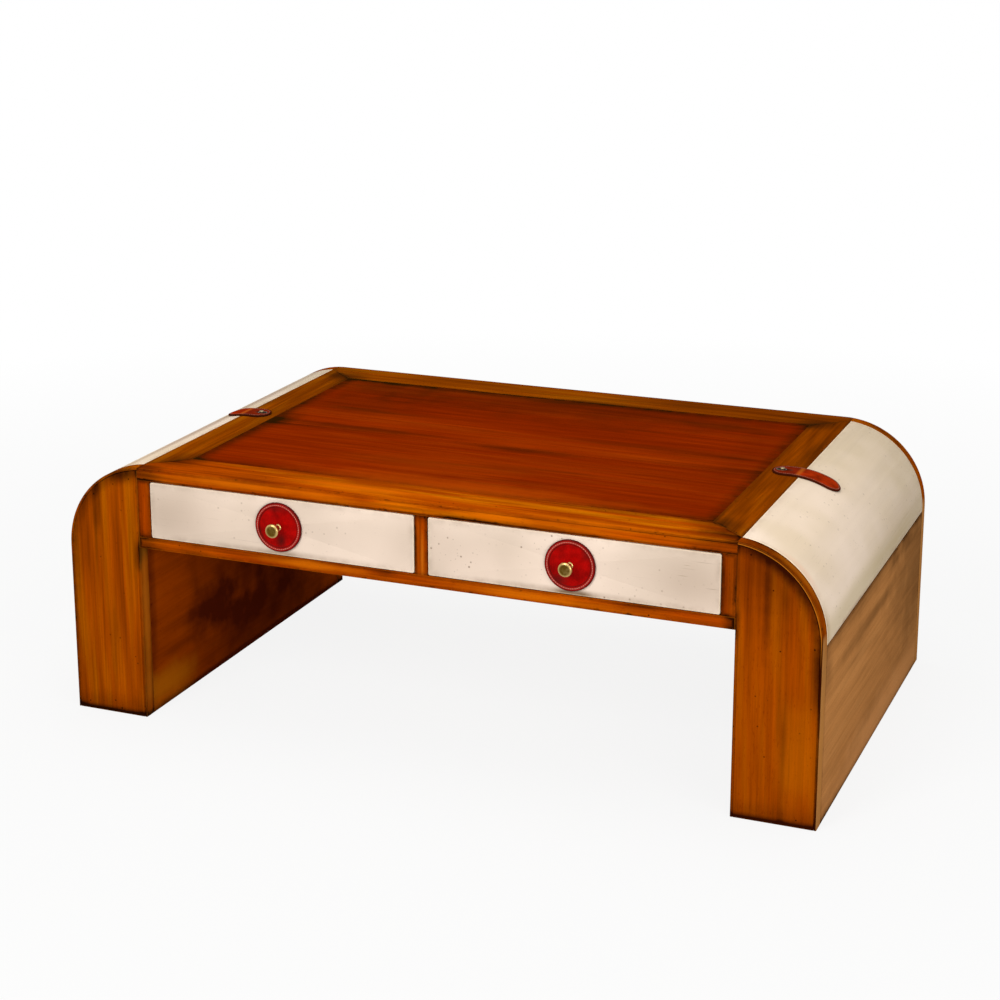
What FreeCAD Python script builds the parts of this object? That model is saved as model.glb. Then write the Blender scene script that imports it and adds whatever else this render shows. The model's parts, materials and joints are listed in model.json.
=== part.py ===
import FreeCAD, Part
import os
import re

import Sketcher
from FreeCAD import Placement, Rotation, Vector

# A low coffee table of waterfall shape. Two leg boxes carry a mitred top with a two-board panel,
# and the outer top corners of the boxes are quarter rounds. Between the legs hangs an apron with
# two dovetailed drawers, each with a leather disc and a brass knob. The quarter rounds are curved
# lids over a compartment in each leg: they turn outwards on plates let into the leg boards at
# their lower edge, and a leather strap on each lid reaches over the seam to a stud in the top.
# Frame: X along the length, the drawers face -Y, Z up, origin on the floor below the centre.
# The right half and the front half are modelled, and their mirror images make the rest. Last of
# all the table is moved back by half the knobs' reach, so the origin is the whole box's middle.

# Driving dimensions, in millimetres unless the name says share, count or tilt (degrees).
SIZES = (
    ("table_length", 1200.0),
    ("table_depth", 700.0),
    ("table_height", 410.0),
    ("leg_width", 125.0),
    ("corner_overlap", 13.0),
    ("board_thick", 22.0),
    ("inner_panel_thick", 18.0),
    ("outer_panel_thick", 20.0),
    ("leg_floor_thick", 12.0),
    ("leg_floor_lift", 8.0),
    ("quirk_inset", 3.5),
    ("quirk_width", 1.2),
    ("quirk_depth", 0.8),
    ("arris_bevel", 1.0),
    ("top_thick", 20.0),
    ("end_rail_width", 56.0),
    ("long_rail_width", 51.0),
    ("panel_joint_share", 0.442),
    ("apron_height", 129.0),
    ("bottom_rail_height", 18.0),
    ("stile_width", 21.0),
    ("divider_width", 20.0),
    ("dust_board_thick", 10.0),
    ("dust_board_lift", 2.0),
    ("runner_reach", 24.0),
    ("guide_height", 30.0),
    ("run_gap", 0.3),
    ("stop_width", 40.0),
    ("stop_depth", 18.0),
    ("stop_bite", 6.0),
    ("stop_gap", 0.3),
    ("drawer_side_gap", 1.2),
    ("drawer_under_gap", 1.0),
    ("drawer_over_gap", 1.5),
    ("drawer_back_room", 118.0),
    ("drawer_side_height", 80.0),
    ("drawer_side_thick", 12.0),
    ("drawer_back_thick", 12.0),
    ("drawer_back_drop", 4.0),
    ("drawer_bottom_thick", 6.0),
    ("drawer_bottom_lift", 8.0),
    ("groove_depth", 5.0),
    ("front_corner_radius", 3.0),
    ("front_edge_bevel", 0.8),
    ("tail_count", 3.0),
    ("tail_length", 14.0),
    ("tail_flare", 2.0),
    ("tail_root_share", 0.6),
    ("disc_radius", 38.5),
    ("disc_thick", 2.4),
    ("disc_rim_width", 6.0),
    ("disc_rim_rise", 1.4),
    ("knob_length", 23.0),
    ("knob_head_radius", 12.0),
    ("knob_head_thick", 7.0),
    ("knob_head_bevel", 1.6),
    ("knob_neck_radius", 3.6),
    ("knob_foot_radius", 5.0),
    ("knob_foot_thick", 1.6),
    ("bolt_radius", 2.0),
    ("bolt_reach", 10.0),
    ("bolt_head_radius", 4.5),
    ("bolt_head_thick", 2.6),
    ("bolt_clearance", 0.2),
    ("lid_thick", 12.0),
    ("lid_skirt", 6.0),
    ("lid_seam_gap", 0.8),
    ("lid_foot_gap", 0.4),
    ("lid_seat_gap", 0.3),
    ("rest_width", 12.0),
    ("rest_depth", 14.0),
    ("rest_lift", 2.0),
    ("pivot_inset", 3.0),
    ("pin_radius", 1.5),
    ("pin_clearance", 0.05),
    ("pin_end_gap", 0.1),
    ("plate_radius", 2.4),
    ("plate_length", 26.0),
    ("plate_thick", 2.0),
    ("plate_tilt", 11.0),
    ("strap_width", 44.0),
    ("strap_thick", 3.0),
    ("strap_lift", 0.3),
    ("strap_reach", 45.0),
    ("strap_tail", 60.0),
    ("slot_width", 9.2),
    ("slot_length", 14.0),
    ("slot_setback", 7.0),
    ("stud_setback", 16.0),
    ("stud_root_depth", 8.0),
    ("stud_post_radius", 2.2),
    ("stud_post_height", 4.0),
    ("stud_head_radius", 3.6),
    ("stud_head_height", 2.4),
    ("overrun", 5.0),
)

# Places and sizes that follow from the driving dimensions, each written once.
DERIVED = {
    "half_length": "table_length / 2",
    "half_depth": "table_depth / 2",
    "inside_y": "half_depth - board_thick",
    "seam_x": "half_length - leg_width",
    "corner_radius": "leg_width + corner_overlap",
    "arc_x": "half_length - corner_radius",
    "arc_z": "table_height - corner_radius",
    "quirk_outer": "quirk_inset + quirk_width",
    "top_under": "table_height - top_thick",
    "panel_x": "seam_x - end_rail_width",
    "panel_y": "inside_y - long_rail_width",
    "joint_y": "panel_y * (2 * panel_joint_share - 1)",
    "long_rail_depth": "board_thick + long_rail_width",
    "apron_bottom": "table_height - apron_height",
    "opening_floor": "apron_bottom + bottom_rail_height",
    "opening_x": "seam_x - stile_width",
    "half_divider": "divider_width / 2",
    "dust_bottom": "apron_bottom + dust_board_lift",
    "dust_top": "dust_bottom + dust_board_thick",
    "leg_inside_x": "seam_x + inner_panel_thick",
    "leg_outside_x": "half_length - outer_panel_thick",
    "drawer_left_x": "half_divider + drawer_side_gap",
    "drawer_right_x": "opening_x - drawer_side_gap",
    "drawer_floor": "opening_floor + drawer_under_gap",
    "drawer_crown": "top_under - drawer_over_gap",
    "drawer_back_y": "inside_y - drawer_back_room",
    "drawer_middle_x": "(drawer_left_x + drawer_right_x) / 2",
    "knob_z": "(opening_floor + top_under) / 2",
    "knob_tip": "disc_thick + knob_length",
    "bolt_hole_radius": "bolt_radius + bolt_clearance",
    "runner_top": "drawer_floor - run_gap",
    "bottom_under": "drawer_floor + drawer_bottom_lift",
    "bottom_over": "bottom_under + drawer_bottom_thick",
    "lid_foot_height": "arc_z - lid_skirt",
    "lid_inner_radius": "corner_radius - lid_thick",
    "lid_edge_x": "seam_x + lid_seam_gap",
    "lid_bottom": "lid_foot_height + lid_foot_gap",
    "lid_half_depth": "inside_y - lid_seam_gap",
    "pivot_x": "half_length - pivot_inset",
    "pivot_z": "lid_bottom + pivot_inset",
    "rest_radius": "lid_inner_radius - lid_seat_gap",
    "rest_inner_radius": "rest_radius - rest_width",
    "rest_foot": "arc_z + rest_lift",
    "strap_start_x": "seam_x - strap_reach",
    "strap_end_x": "seam_x + strap_tail",
    "strap_under": "table_height + strap_lift",
    "strap_over": "strap_under + strap_thick",
    "strap_radius": "corner_radius + strap_lift",
    "strap_outer_radius": "strap_radius + strap_thick",
    "strap_tip_x": "arc_x + (strap_end_x - arc_x) * strap_outer_radius / strap_radius",
    "half_strap": "strap_width / 2",
    "half_slot": "slot_width / 2",
    "slot_start_x": "strap_start_x + slot_setback",
    "slot_end_x": "slot_start_x + slot_length",
    "stud_x": "strap_start_x + stud_setback",
}

LINE = 2
TOUCH = 1e-4
MIRROR_NORMALS = {"X": Vector(1, 0, 0), "Y": Vector(0, 1, 0)}

doc = FreeCAD.newDocument("CoffeeTable")
sheet = doc.addObject("Spreadsheet::Sheet", "Sizes")
for row, (alias, value) in enumerate(SIZES, start=1):
    sheet.set(f"A{row}", alias.replace("_", " "))
    sheet.set(f"B{row}", str(value))
    sheet.setAlias(f"B{row}", alias)
doc.recompute()
ALIASES = {alias for alias, value in SIZES}


def bind(text):
    """Turn a text of named sizes into an expression on the sheet's cells."""
    def swap(match):
        word = match.group(0)
        if word in DERIVED:
            return "(" + bind(DERIVED[word]) + ")"
        return "Sizes." + word if word in ALIASES else word
    return re.sub(r"[a-z]+(?:_[a-z]+)*", swap, text)


def number(text):
    """The value of a text of named sizes, in millimetres."""
    return float(sheet.evalExpression(bind(text)))


def arc_height(radius, x):
    """Height of the corner's arc of this radius above the floor at x."""
    return f"arc_z + sqrt(({radius})^2 - ({x} - arc_x)^2)"


def bind_place(thing, x="0", y="0", z="0"):
    """Tie an object's place to the sheet."""
    for axis, text in zip("xyz", (x, y, z)):
        thing.setExpression(f"Placement.Base.{axis}", bind(text))


def arc_between(start, end, radius, turn):
    """The arc of under a half circle, or a half circle, from start to end; turn is +1 for left."""
    middle = (start + end) * 0.5
    chord = end - start
    rise = max(radius ** 2 - (chord.Length / 2) ** 2, 0.0) ** 0.5
    side = Vector(-chord.y, chord.x, 0).normalize() * (turn * rise)
    centre = middle + side
    circle = Part.Circle(centre, Vector(0, 0, 1), radius)
    first, last = (start, end) if turn > 0 else (end, start)
    return Part.ArcOfCircle(circle, circle.parameter(first), circle.parameter(last))


def fix_point(sketch, geometry, point, x, y):
    """Hold one point of the sketch at a place given in named sizes."""
    for kind, axis, text in (("DistanceX", -2, x), ("DistanceY", -1, y)):
        value = number(text)
        if abs(value) < TOUCH:
            sketch.addConstraint(Sketcher.Constraint("PointOnObject", geometry, point, axis))
            continue
        ends = (-1, 1, geometry, point) if value > 0 else (geometry, point, -1, 1)
        index = sketch.addConstraint(Sketcher.Constraint(kind, *ends, abs(value)))
        signed = text if value > 0 else f"-({text})"
        sketch.setExpression(f"Constraints[{index}]", bind(signed))


def fix_radius(sketch, geometry, radius):
    """Hold the radius of an arc or a circle."""
    index = sketch.addConstraint(Sketcher.Constraint("Radius", geometry, number(radius)))
    sketch.setExpression(f"Constraints[{index}]", bind(radius))


def hold_arc(sketch, geometry, radius):
    """Hold an arc between fixed ends: a half circle by its centre, any other by its radius."""
    arc = sketch.Geometry[geometry]
    chord = arc.EndPoint - arc.StartPoint
    if abs(chord.Length - 2 * number(radius)) > TOUCH:
        fix_radius(sketch, geometry, radius)
        return
    kind = "Vertical" if abs(chord.x) < TOUCH else "Horizontal"
    sketch.addConstraint(Sketcher.Constraint(kind, geometry, 3, geometry, 1))


def add_outline(sketch, outline):
    """Draw a closed outline. A corner is (x, y), or (x, y, radius, turn) where an arc leads to it."""
    corners = [Vector(number(corner[0]), number(corner[1]), 0) for corner in outline]
    ends = []
    for index, corner in enumerate(outline):
        start, end = corners[index - 1], corners[index]
        if len(corner) == LINE:
            geometry = sketch.addGeometry(Part.LineSegment(start, end), False)
            ends.append((geometry, 1, 2))
        else:
            arc = arc_between(start, end, number(corner[2]), corner[3])
            geometry = sketch.addGeometry(arc, False)
            ends.append((geometry, 1, 2) if corner[3] > 0 else (geometry, 2, 1))
    for index, corner in enumerate(outline):
        geometry, first, last = ends[index]
        following, follow_first, follow_last = ends[(index + 1) % len(ends)]
        sketch.addConstraint(
            Sketcher.Constraint("Coincident", geometry, last, following, follow_first))
        fix_point(sketch, geometry, last, corner[0], corner[1])
        if len(corner) != LINE:
            hold_arc(sketch, geometry, corner[2])


def add_circle(sketch, x, y, radius):
    """Draw a circle whose centre and radius follow the sheet."""
    circle = Part.Circle(Vector(number(x), number(y), 0), Vector(0, 0, 1), number(radius))
    geometry = sketch.addGeometry(circle, False)
    fix_point(sketch, geometry, 3, x, y)
    fix_radius(sketch, geometry, radius)


def draw(body, role, outlines=(), circles=(), lift="0"):
    """A dimensioned sketch on one of the body's own origin planes, raised by lift."""
    sketch = body.newObject("Sketcher::SketchObject", body.Label + "_sketch")
    plane = next(item for item in body.Origin.OriginFeatures if item.Role == role)
    sketch.AttachmentSupport = (plane, "")
    sketch.MapMode = "FlatFace"
    sketch.setExpression("AttachmentOffset.Base.z", bind(lift))
    for outline in outlines:
        add_outline(sketch, outline)
    for circle in circles:
        add_circle(sketch, *circle)
    return sketch


def new_body(label, x="0", y="0", z="0"):
    """An empty body at a place given in named sizes."""
    body = doc.addObject("PartDesign::Body", label)
    bind_place(body, x, y, z)
    return body


def pad(body, sketch, length, side="front"):
    """Raise a sketch to the front or the back of its plane, or half to each with both."""
    feature = body.newObject("PartDesign::Pad", body.Label + "_pad")
    feature.Profile = sketch
    feature.setExpression("Length", bind(length))
    feature.Reversed = side == "back"
    feature.Midplane = side == "both"
    doc.recompute()
    return feature


def pocket(body, sketch, depth=None):
    """Cut a sketch to a depth, or right through, and check that it removed something."""
    before = body.Shape.Volume
    feature = body.newObject("PartDesign::Pocket", body.Label + "_pocket")
    feature.Profile = sketch
    feature.Midplane = depth is None
    feature.setExpression("Length", bind(depth or "table_length"))
    doc.recompute()
    if body.Shape.Volume >= before:
        raise ValueError(f"{body.Label}: the pocket cuts nothing")
    return feature


def spin(body, sketch):
    """Revolve a half profile about the sketch's vertical axis."""
    feature = body.newObject("PartDesign::Revolution", body.Label + "_turning")
    feature.Profile = sketch
    feature.ReferenceAxis = (sketch, ["V_Axis"])
    doc.recompute()
    return feature


def bevel_edges(body, base, size, chosen):
    """Take off the edges of base that the test picks."""
    names = [f"Edge{index}" for index, edge in enumerate(base.Shape.Edges, start=1) if chosen(edge)]
    feature = body.newObject("PartDesign::Chamfer", body.Label + "_bevel")
    feature.Base = (base, names)
    feature.setExpression("Size", bind(size))
    doc.recompute()
    return feature


def board(label, low, high):
    """A plain board between two opposite corners, both given in named sizes."""
    box = doc.addObject("Part::Box", label)
    for side, start, end in zip(("Length", "Width", "Height"), low, high):
        box.setExpression(side, bind(f"({end}) - ({start})"))
    bind_place(box, *low)
    return box


def mirrored(source, label, across):
    """The mirror image of a piece across the table's middle plane square to X or Y."""
    image = doc.addObject("Part::Mirroring", label)
    image.Source = source
    image.Normal = MIRROR_NORMALS[across]
    return image


def cut(label, base, *tools):
    """A piece with the room for its neighbours taken out."""
    joined = tools[0]
    if len(tools) > 1:
        joined = doc.addObject("Part::MultiFuse", label + "_tools")
        joined.Shapes = list(tools)
    result = doc.addObject("Part::Cut", label)
    result.Base = base
    result.Tool = joined
    return result


def group(label, *members):
    """Identical small pieces that share one node, each still a solid of its own."""
    result = doc.addObject("Part::Compound", label)
    result.Links = list(members)
    return result


def lies_on_front(edge):
    """Whether an edge lies in the plane y = 0 of its body."""
    box = edge.BoundBox
    return max(abs(box.YMin), abs(box.YMax)) < TOUCH


def leg_front_board():
    """Front board of the right leg, with its quarter round and a quirk worked along its edges."""
    body = new_body("leg_board_blank", y="-half_depth")
    crown = arc_height("corner_radius", "seam_x")
    outline = [
        ("seam_x", "0"),
        ("half_length", "0"),
        ("half_length", "arc_z"),
        ("seam_x", crown, "corner_radius", 1),
    ]
    blank = pad(body, draw(body, "XZ_Plane", [outline]), "board_thick", "back")
    bevel_edges(body, blank, "arris_bevel",
                lambda edge: lies_on_front(edge) and edge.BoundBox.ZMax > TOUCH)
    near, far = "half_length - quirk_outer", "half_length - quirk_inset"
    near_radius, far_radius = "corner_radius - quirk_outer", "corner_radius - quirk_inset"
    outer_quirk = [
        (near, "0"),
        (far, "0"),
        (far, "arc_z"),
        ("seam_x", arc_height(far_radius, "seam_x"), far_radius, 1),
        ("seam_x", arc_height(near_radius, "seam_x")),
        (near, "arc_z", near_radius, -1),
    ]
    inner_quirk = [
        ("seam_x + quirk_inset", "0"),
        ("seam_x + quirk_outer", "0"),
        ("seam_x + quirk_outer", "apron_bottom"),
        ("seam_x + quirk_inset", "apron_bottom"),
    ]
    pocket(body, draw(body, "XZ_Plane", [outer_quirk, inner_quirk]), "quirk_depth")
    return body


def top_front_rail():
    """Long rail of the top frame: mitred to the end rails, its front edge carries the quirk."""
    body = new_body("top_front_rail", y="-half_depth", z="top_under")
    crown = f"({arc_height('corner_radius', 'seam_x')}) - top_under"
    profile = [
        ("-seam_x", "0"),
        ("seam_x", "0"),
        ("seam_x", crown),
        ("arc_x", "top_thick", "corner_radius", 1),
        ("-arc_x", "top_thick"),
        ("-seam_x", crown, "corner_radius", 1),
    ]
    blank = pad(body, draw(body, "XZ_Plane", [profile]), "long_rail_depth", "back")
    middle = number("top_thick / 2")
    bevel_edges(body, blank, "arris_bevel",
                lambda edge: lies_on_front(edge) and edge.BoundBox.ZMin > middle)
    low, high = "top_thick - quirk_outer", "top_thick - quirk_inset"
    low_radius, high_radius = "corner_radius - quirk_outer", "corner_radius - quirk_inset"
    low_end = f"({arc_height(low_radius, 'seam_x')}) - top_under"
    high_end = f"({arc_height(high_radius, 'seam_x')}) - top_under"
    quirk = [
        ("-arc_x", low, low_radius, -1),
        ("arc_x", low),
        ("seam_x", low_end, low_radius, -1),
        ("seam_x", high_end),
        ("arc_x", high, high_radius, 1),
        ("-arc_x", high),
        ("-seam_x", high_end, high_radius, 1),
        ("-seam_x", low_end),
    ]
    pocket(body, draw(body, "XZ_Plane", [quirk]), "quirk_depth")
    mitre = [
        ("panel_x", "long_rail_depth"),
        ("seam_x", "board_thick"),
        ("seam_x + overrun", "board_thick"),
        ("seam_x + overrun", "long_rail_depth + overrun"),
        ("panel_x", "long_rail_depth + overrun"),
    ]
    other = [(f"-({x})", y) for x, y in mitre]
    pocket(body, draw(body, "XY_Plane", [mitre, other]))
    return body


def top_end_rail():
    """Right rail of the top frame: its outer edge is the start of the quarter round."""
    body = new_body("top_end_rail_blank", z="top_under")
    crown = f"({arc_height('corner_radius', 'seam_x')}) - top_under"
    profile = [
        ("panel_x", "0"),
        ("seam_x", "0"),
        ("seam_x", crown),
        ("arc_x", "top_thick", "corner_radius", 1),
        ("panel_x", "top_thick"),
    ]
    pad(body, draw(body, "XZ_Plane", [profile]), "2 * inside_y", "both")
    mitre = [
        ("panel_x", "panel_y"),
        ("panel_x - overrun", "panel_y"),
        ("panel_x - overrun", "inside_y + overrun"),
        ("seam_x", "inside_y + overrun"),
        ("seam_x", "inside_y"),
    ]
    other = [(x, f"-({y})") for x, y in mitre]
    pocket(body, draw(body, "XY_Plane", [mitre, other]))
    return body


def outer_runner():
    """L-shaped runner of the right drawer on the leg's side: foot below, guide beside."""
    body = new_body("right_outer_runner", y="-inside_y")
    profile = [
        ("opening_x - runner_reach", "dust_top"),
        ("seam_x", "dust_top"),
        ("seam_x", "runner_top + guide_height"),
        ("opening_x", "runner_top + guide_height"),
        ("opening_x", "runner_top"),
        ("opening_x - runner_reach", "runner_top"),
    ]
    pad(body, draw(body, "XZ_Plane", [profile]), "2 * inside_y", "back")
    return body


def lid_rest():
    """Cleat on the leg board's inner face, whose round outer edge follows the lid's underside."""
    body = new_body("right_front_lid_rest", y="-inside_y")
    foot = "rest_foot - arc_z"
    profile = [
        (f"arc_x + sqrt((rest_inner_radius)^2 - ({foot})^2)", "rest_foot"),
        (f"arc_x + sqrt((rest_radius)^2 - ({foot})^2)", "rest_foot"),
        ("leg_inside_x", arc_height("rest_radius", "leg_inside_x"), "rest_radius", 1),
        ("leg_inside_x", arc_height("rest_inner_radius", "leg_inside_x")),
    ]
    pad(body, draw(body, "XZ_Plane", [profile]), "rest_depth", "back")
    return body


def drawer_side(label, x):
    """Side of the right drawer: its front end is cut to dovetails."""
    body = new_body(label, x=x)
    root, tip = "board_thick - half_depth", "board_thick - half_depth - tail_length"
    count = int(number("tail_count"))
    profile = [
        ("drawer_back_y", "drawer_floor"),
        ("drawer_back_y", "drawer_floor + drawer_side_height"),
        (root, "drawer_floor + drawer_side_height"),
    ]
    for tail in reversed(range(count)):
        middle = f"drawer_floor + drawer_side_height * ({tail} + 0.5) / tail_count"
        half_root = "drawer_side_height * tail_root_share / tail_count / 2"
        profile += [
            (root, f"{middle} + {half_root}"),
            (tip, f"{middle} + {half_root} + tail_flare"),
            (tip, f"{middle} - {half_root} - tail_flare"),
            (root, f"{middle} - {half_root}"),
        ]
    profile.append((root, "drawer_floor"))
    pad(body, draw(body, "YZ_Plane", [profile]), "drawer_side_thick")
    return body


def drawer_front():
    """Painted front of the right drawer, with rounded corners and the hole for the knob's bolt."""
    body = new_body("drawer_front_blank", y="-half_depth")
    left, right = "drawer_left_x", "drawer_right_x"
    low, high = "drawer_floor", "drawer_crown"
    corner = "front_corner_radius"
    profile = [
        (f"{left} + {corner}", low, corner, 1),
        (f"{right} - {corner}", low),
        (right, f"{low} + {corner}", corner, 1),
        (right, f"{high} - {corner}"),
        (f"{right} - {corner}", high, corner, 1),
        (f"{left} + {corner}", high),
        (left, f"{high} - {corner}", corner, 1),
        (left, f"{low} + {corner}"),
    ]
    blank = pad(body, draw(body, "XZ_Plane", [profile]), "board_thick", "back")
    bevel_edges(body, blank, "front_edge_bevel", lies_on_front)
    hole = draw(body, "XZ_Plane", circles=[("drawer_middle_x", "knob_z", "bolt_hole_radius")])
    pocket(body, hole)
    return body


def knob_body(label):
    """An empty body whose Y axis is the knob's axis, at the face of the drawer front."""
    return new_body(label, x="drawer_middle_x", y="-half_depth", z="knob_z")


def leather_disc():
    """Leather disc behind the knob, with its raised stitched rim."""
    body = knob_body("right_drawer_disc")
    face, rim = "-disc_thick", "-(disc_thick + disc_rim_rise)"
    profile = [
        ("bolt_hole_radius", "0"),
        ("disc_radius", "0"),
        ("disc_radius", rim),
        ("disc_radius - disc_rim_width", rim),
        ("disc_radius - disc_rim_width - disc_rim_rise", face),
        ("bolt_hole_radius", face),
    ]
    spin(body, draw(body, "XY_Plane", [profile]))
    return body


def brass_knob():
    """Turned brass knob: foot, neck and round head, bored for its bolt."""
    body = knob_body("right_drawer_knob")
    head = "-(knob_tip - knob_head_thick)"
    shoulder = "knob_head_radius - knob_head_bevel"
    bore_end = "-(disc_thick + bolt_reach)"
    profile = [
        ("bolt_hole_radius", "-disc_thick"),
        ("knob_foot_radius", "-disc_thick"),
        ("knob_foot_radius", "-(disc_thick + knob_foot_thick)"),
        ("knob_neck_radius", "-(disc_thick + knob_foot_thick)"),
        ("knob_neck_radius", head),
        ("knob_head_radius", head),
        ("knob_head_radius", "knob_head_bevel - knob_tip"),
        (shoulder, "-knob_tip"),
        ("0", "-knob_tip"),
        ("0", bore_end),
        ("bolt_hole_radius", bore_end),
    ]
    spin(body, draw(body, "XY_Plane", [profile]))
    return body


def knob_bolt():
    """Bolt that holds the knob from inside the drawer."""
    body = knob_body("right_drawer_knob_bolt")
    end = "bolt_clearance - disc_thick - bolt_reach"
    profile = [
        ("0", end),
        ("bolt_radius", end),
        ("bolt_radius", "board_thick"),
        ("bolt_head_radius", "board_thick"),
        ("bolt_head_radius", "board_thick + bolt_head_thick"),
        ("0", "board_thick + bolt_head_thick"),
    ]
    spin(body, draw(body, "XY_Plane", [profile]))
    return body


def lid_shell():
    """Curved lid: a quarter round shell whose lower outer edge is round about its pivots."""
    body = new_body("lid_blank")
    profile = [
        ("half_length - lid_thick", "lid_bottom"),
        ("pivot_x", "lid_bottom"),
        ("half_length", "pivot_z", "pivot_inset", 1),
        ("half_length", "arc_z"),
        ("lid_edge_x", arc_height("corner_radius", "lid_edge_x"), "corner_radius", 1),
        ("lid_edge_x", arc_height("lid_inner_radius", "lid_edge_x")),
        ("half_length - lid_thick", "arc_z", "lid_inner_radius", -1),
    ]
    pad(body, draw(body, "XZ_Plane", [profile]), "2 * lid_half_depth", "both")
    return body


def plate_outline():
    """A bar that reaches from the pivot along Z, with a round end about the pivot."""
    return [
        ("plate_radius", "0", "plate_radius", 1),
        ("plate_radius", "plate_length"),
        ("-plate_radius", "plate_length"),
        ("-plate_radius", "0"),
    ]


def turn_plate(body, angle):
    """Turn a pivot plate about the pivot's axis by an angle in degrees."""
    body.Placement = Placement(body.Placement.Base, Rotation(Vector(0, 1, 0), number(angle)))
    body.setExpression("Placement.Rotation.Angle", bind(angle))


def lid_plate():
    """Pivot plate in the end of the lid, with the eye for the pin."""
    body = new_body("lid_plate", x="pivot_x", y="-lid_half_depth", z="pivot_z")
    eye = ("0", "0", "pin_radius + pin_clearance")
    pad(body, draw(body, "XZ_Plane", [plate_outline()], [eye]), "plate_thick", "back")
    turn_plate(body, "-plate_tilt")
    return body


def eye_core():
    """The room of the eye, which the lid leaves free round the pin."""
    core = doc.addObject("Part::Cylinder", "eye_core")
    core.Placement = Placement(Vector(0, 0, 0), Rotation(Vector(1, 0, 0), -90))
    core.setExpression("Radius", bind("pin_radius + pin_clearance"))
    core.setExpression("Height", bind("plate_thick"))
    bind_place(core, "pivot_x", "-lid_half_depth", "pivot_z")
    return core


def leg_plate():
    """Pivot plate let into the leg board, with the pin that carries the lid."""
    body = new_body("leg_plate", x="pivot_x", y="-(inside_y + plate_thick)", z="pivot_z")
    pad(body, draw(body, "XZ_Plane", [plate_outline()]), "plate_thick", "back")
    pin = draw(body, "XZ_Plane", circles=[("0", "0", "pin_radius")])
    pad(body, pin, "2 * plate_thick + lid_seam_gap - pin_end_gap", "back")
    turn_plate(body, "180 + plate_tilt")
    return body


def stadium(start, end, half_width):
    """An outline with two half-round ends along X."""
    return [
        (f"{start} + {half_width}", f"-({half_width})", half_width, 1),
        (f"{end} - {half_width}", f"-({half_width})"),
        (f"{end} - {half_width}", half_width, half_width, 1),
        (f"{start} + {half_width}", half_width),
    ]


def leather_strap():
    """Strap of the right lid: flat over the top, bent over the lid, round at both ends, slotted."""
    body = new_body("right_lid_strap")
    profile = [
        ("strap_start_x", "strap_under"),
        ("arc_x", "strap_under"),
        ("strap_end_x", arc_height("strap_radius", "strap_end_x"), "strap_radius", -1),
        ("strap_tip_x", arc_height("strap_outer_radius", "strap_tip_x")),
        ("arc_x", "strap_over", "strap_outer_radius", 1),
        ("strap_start_x", "strap_over"),
    ]
    pad(body, draw(body, "XZ_Plane", [profile]), "strap_width", "both")
    surround = [
        ("strap_start_x - overrun", "-(half_strap + overrun)"),
        ("strap_tip_x + overrun", "-(half_strap + overrun)"),
        ("strap_tip_x + overrun", "half_strap + overrun"),
        ("strap_start_x - overrun", "half_strap + overrun"),
    ]
    ends = stadium("strap_start_x", "strap_tip_x", "half_strap")
    pocket(body, draw(body, "XY_Plane", [surround, ends]))
    pocket(body, draw(body, "XY_Plane", [stadium("slot_start_x", "slot_end_x", "half_slot")]))
    return body


def strap_stud():
    """Stud that the strap's slot drops over: a post let into the rail, with a round head."""
    body = new_body("right_strap_stud", x="stud_x", z="table_height")
    crown = "stud_post_height + stud_head_height"
    profile = [
        ("0", "-stud_root_depth"),
        ("stud_post_radius", "-stud_root_depth"),
        ("stud_post_radius", "stud_post_height"),
        ("stud_head_radius", "stud_post_height"),
        ("stud_head_radius", crown),
        ("0", crown),
    ]
    spin(body, draw(body, "XZ_Plane", [profile]))
    return body


def build_legs():
    """The boards and panels of both leg boxes."""
    front = cut("right_leg_front_board", leg_front_board(), pivot_plate)
    pieces = [
        front,
        board("right_leg_inner_panel", ("seam_x", "-inside_y", "0"),
              ("leg_inside_x", "inside_y",
               f"{arc_height('lid_inner_radius', 'leg_inside_x')} - lid_seat_gap")),
        board("right_leg_outer_panel", ("leg_outside_x", "-inside_y", "0"),
              ("half_length", "inside_y", "lid_foot_height")),
        board("right_leg_floor", ("leg_inside_x", "-inside_y", "leg_floor_lift"),
              ("leg_outside_x", "inside_y", "leg_floor_lift + leg_floor_thick")),
    ]
    pieces += [mirrored(front, "right_leg_back_board", "Y")]
    rest = lid_rest()
    pieces += [rest, mirrored(rest, "right_back_lid_rest", "Y")]
    return with_left(pieces)


def with_left(pieces):
    """The pieces of the right half, and their mirror images with left in their names."""
    return pieces + [mirrored(piece, piece.Label.replace("right", "left"), "X") for piece in pieces]


def build_top():
    """The mitred frame and the two boards of its panel."""
    front = top_front_rail()
    end = cut("top_right_rail", top_end_rail(), stud)
    return with_left([end]) + [
        front,
        mirrored(front, "top_back_rail", "Y"),
        board("top_panel_front_board", ("-panel_x", "-panel_y", "top_under"),
              ("panel_x", "joint_y", "table_height")),
        board("top_panel_back_board", ("-panel_x", "joint_y", "top_under"),
              ("panel_x", "panel_y", "table_height")),
    ]


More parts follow.
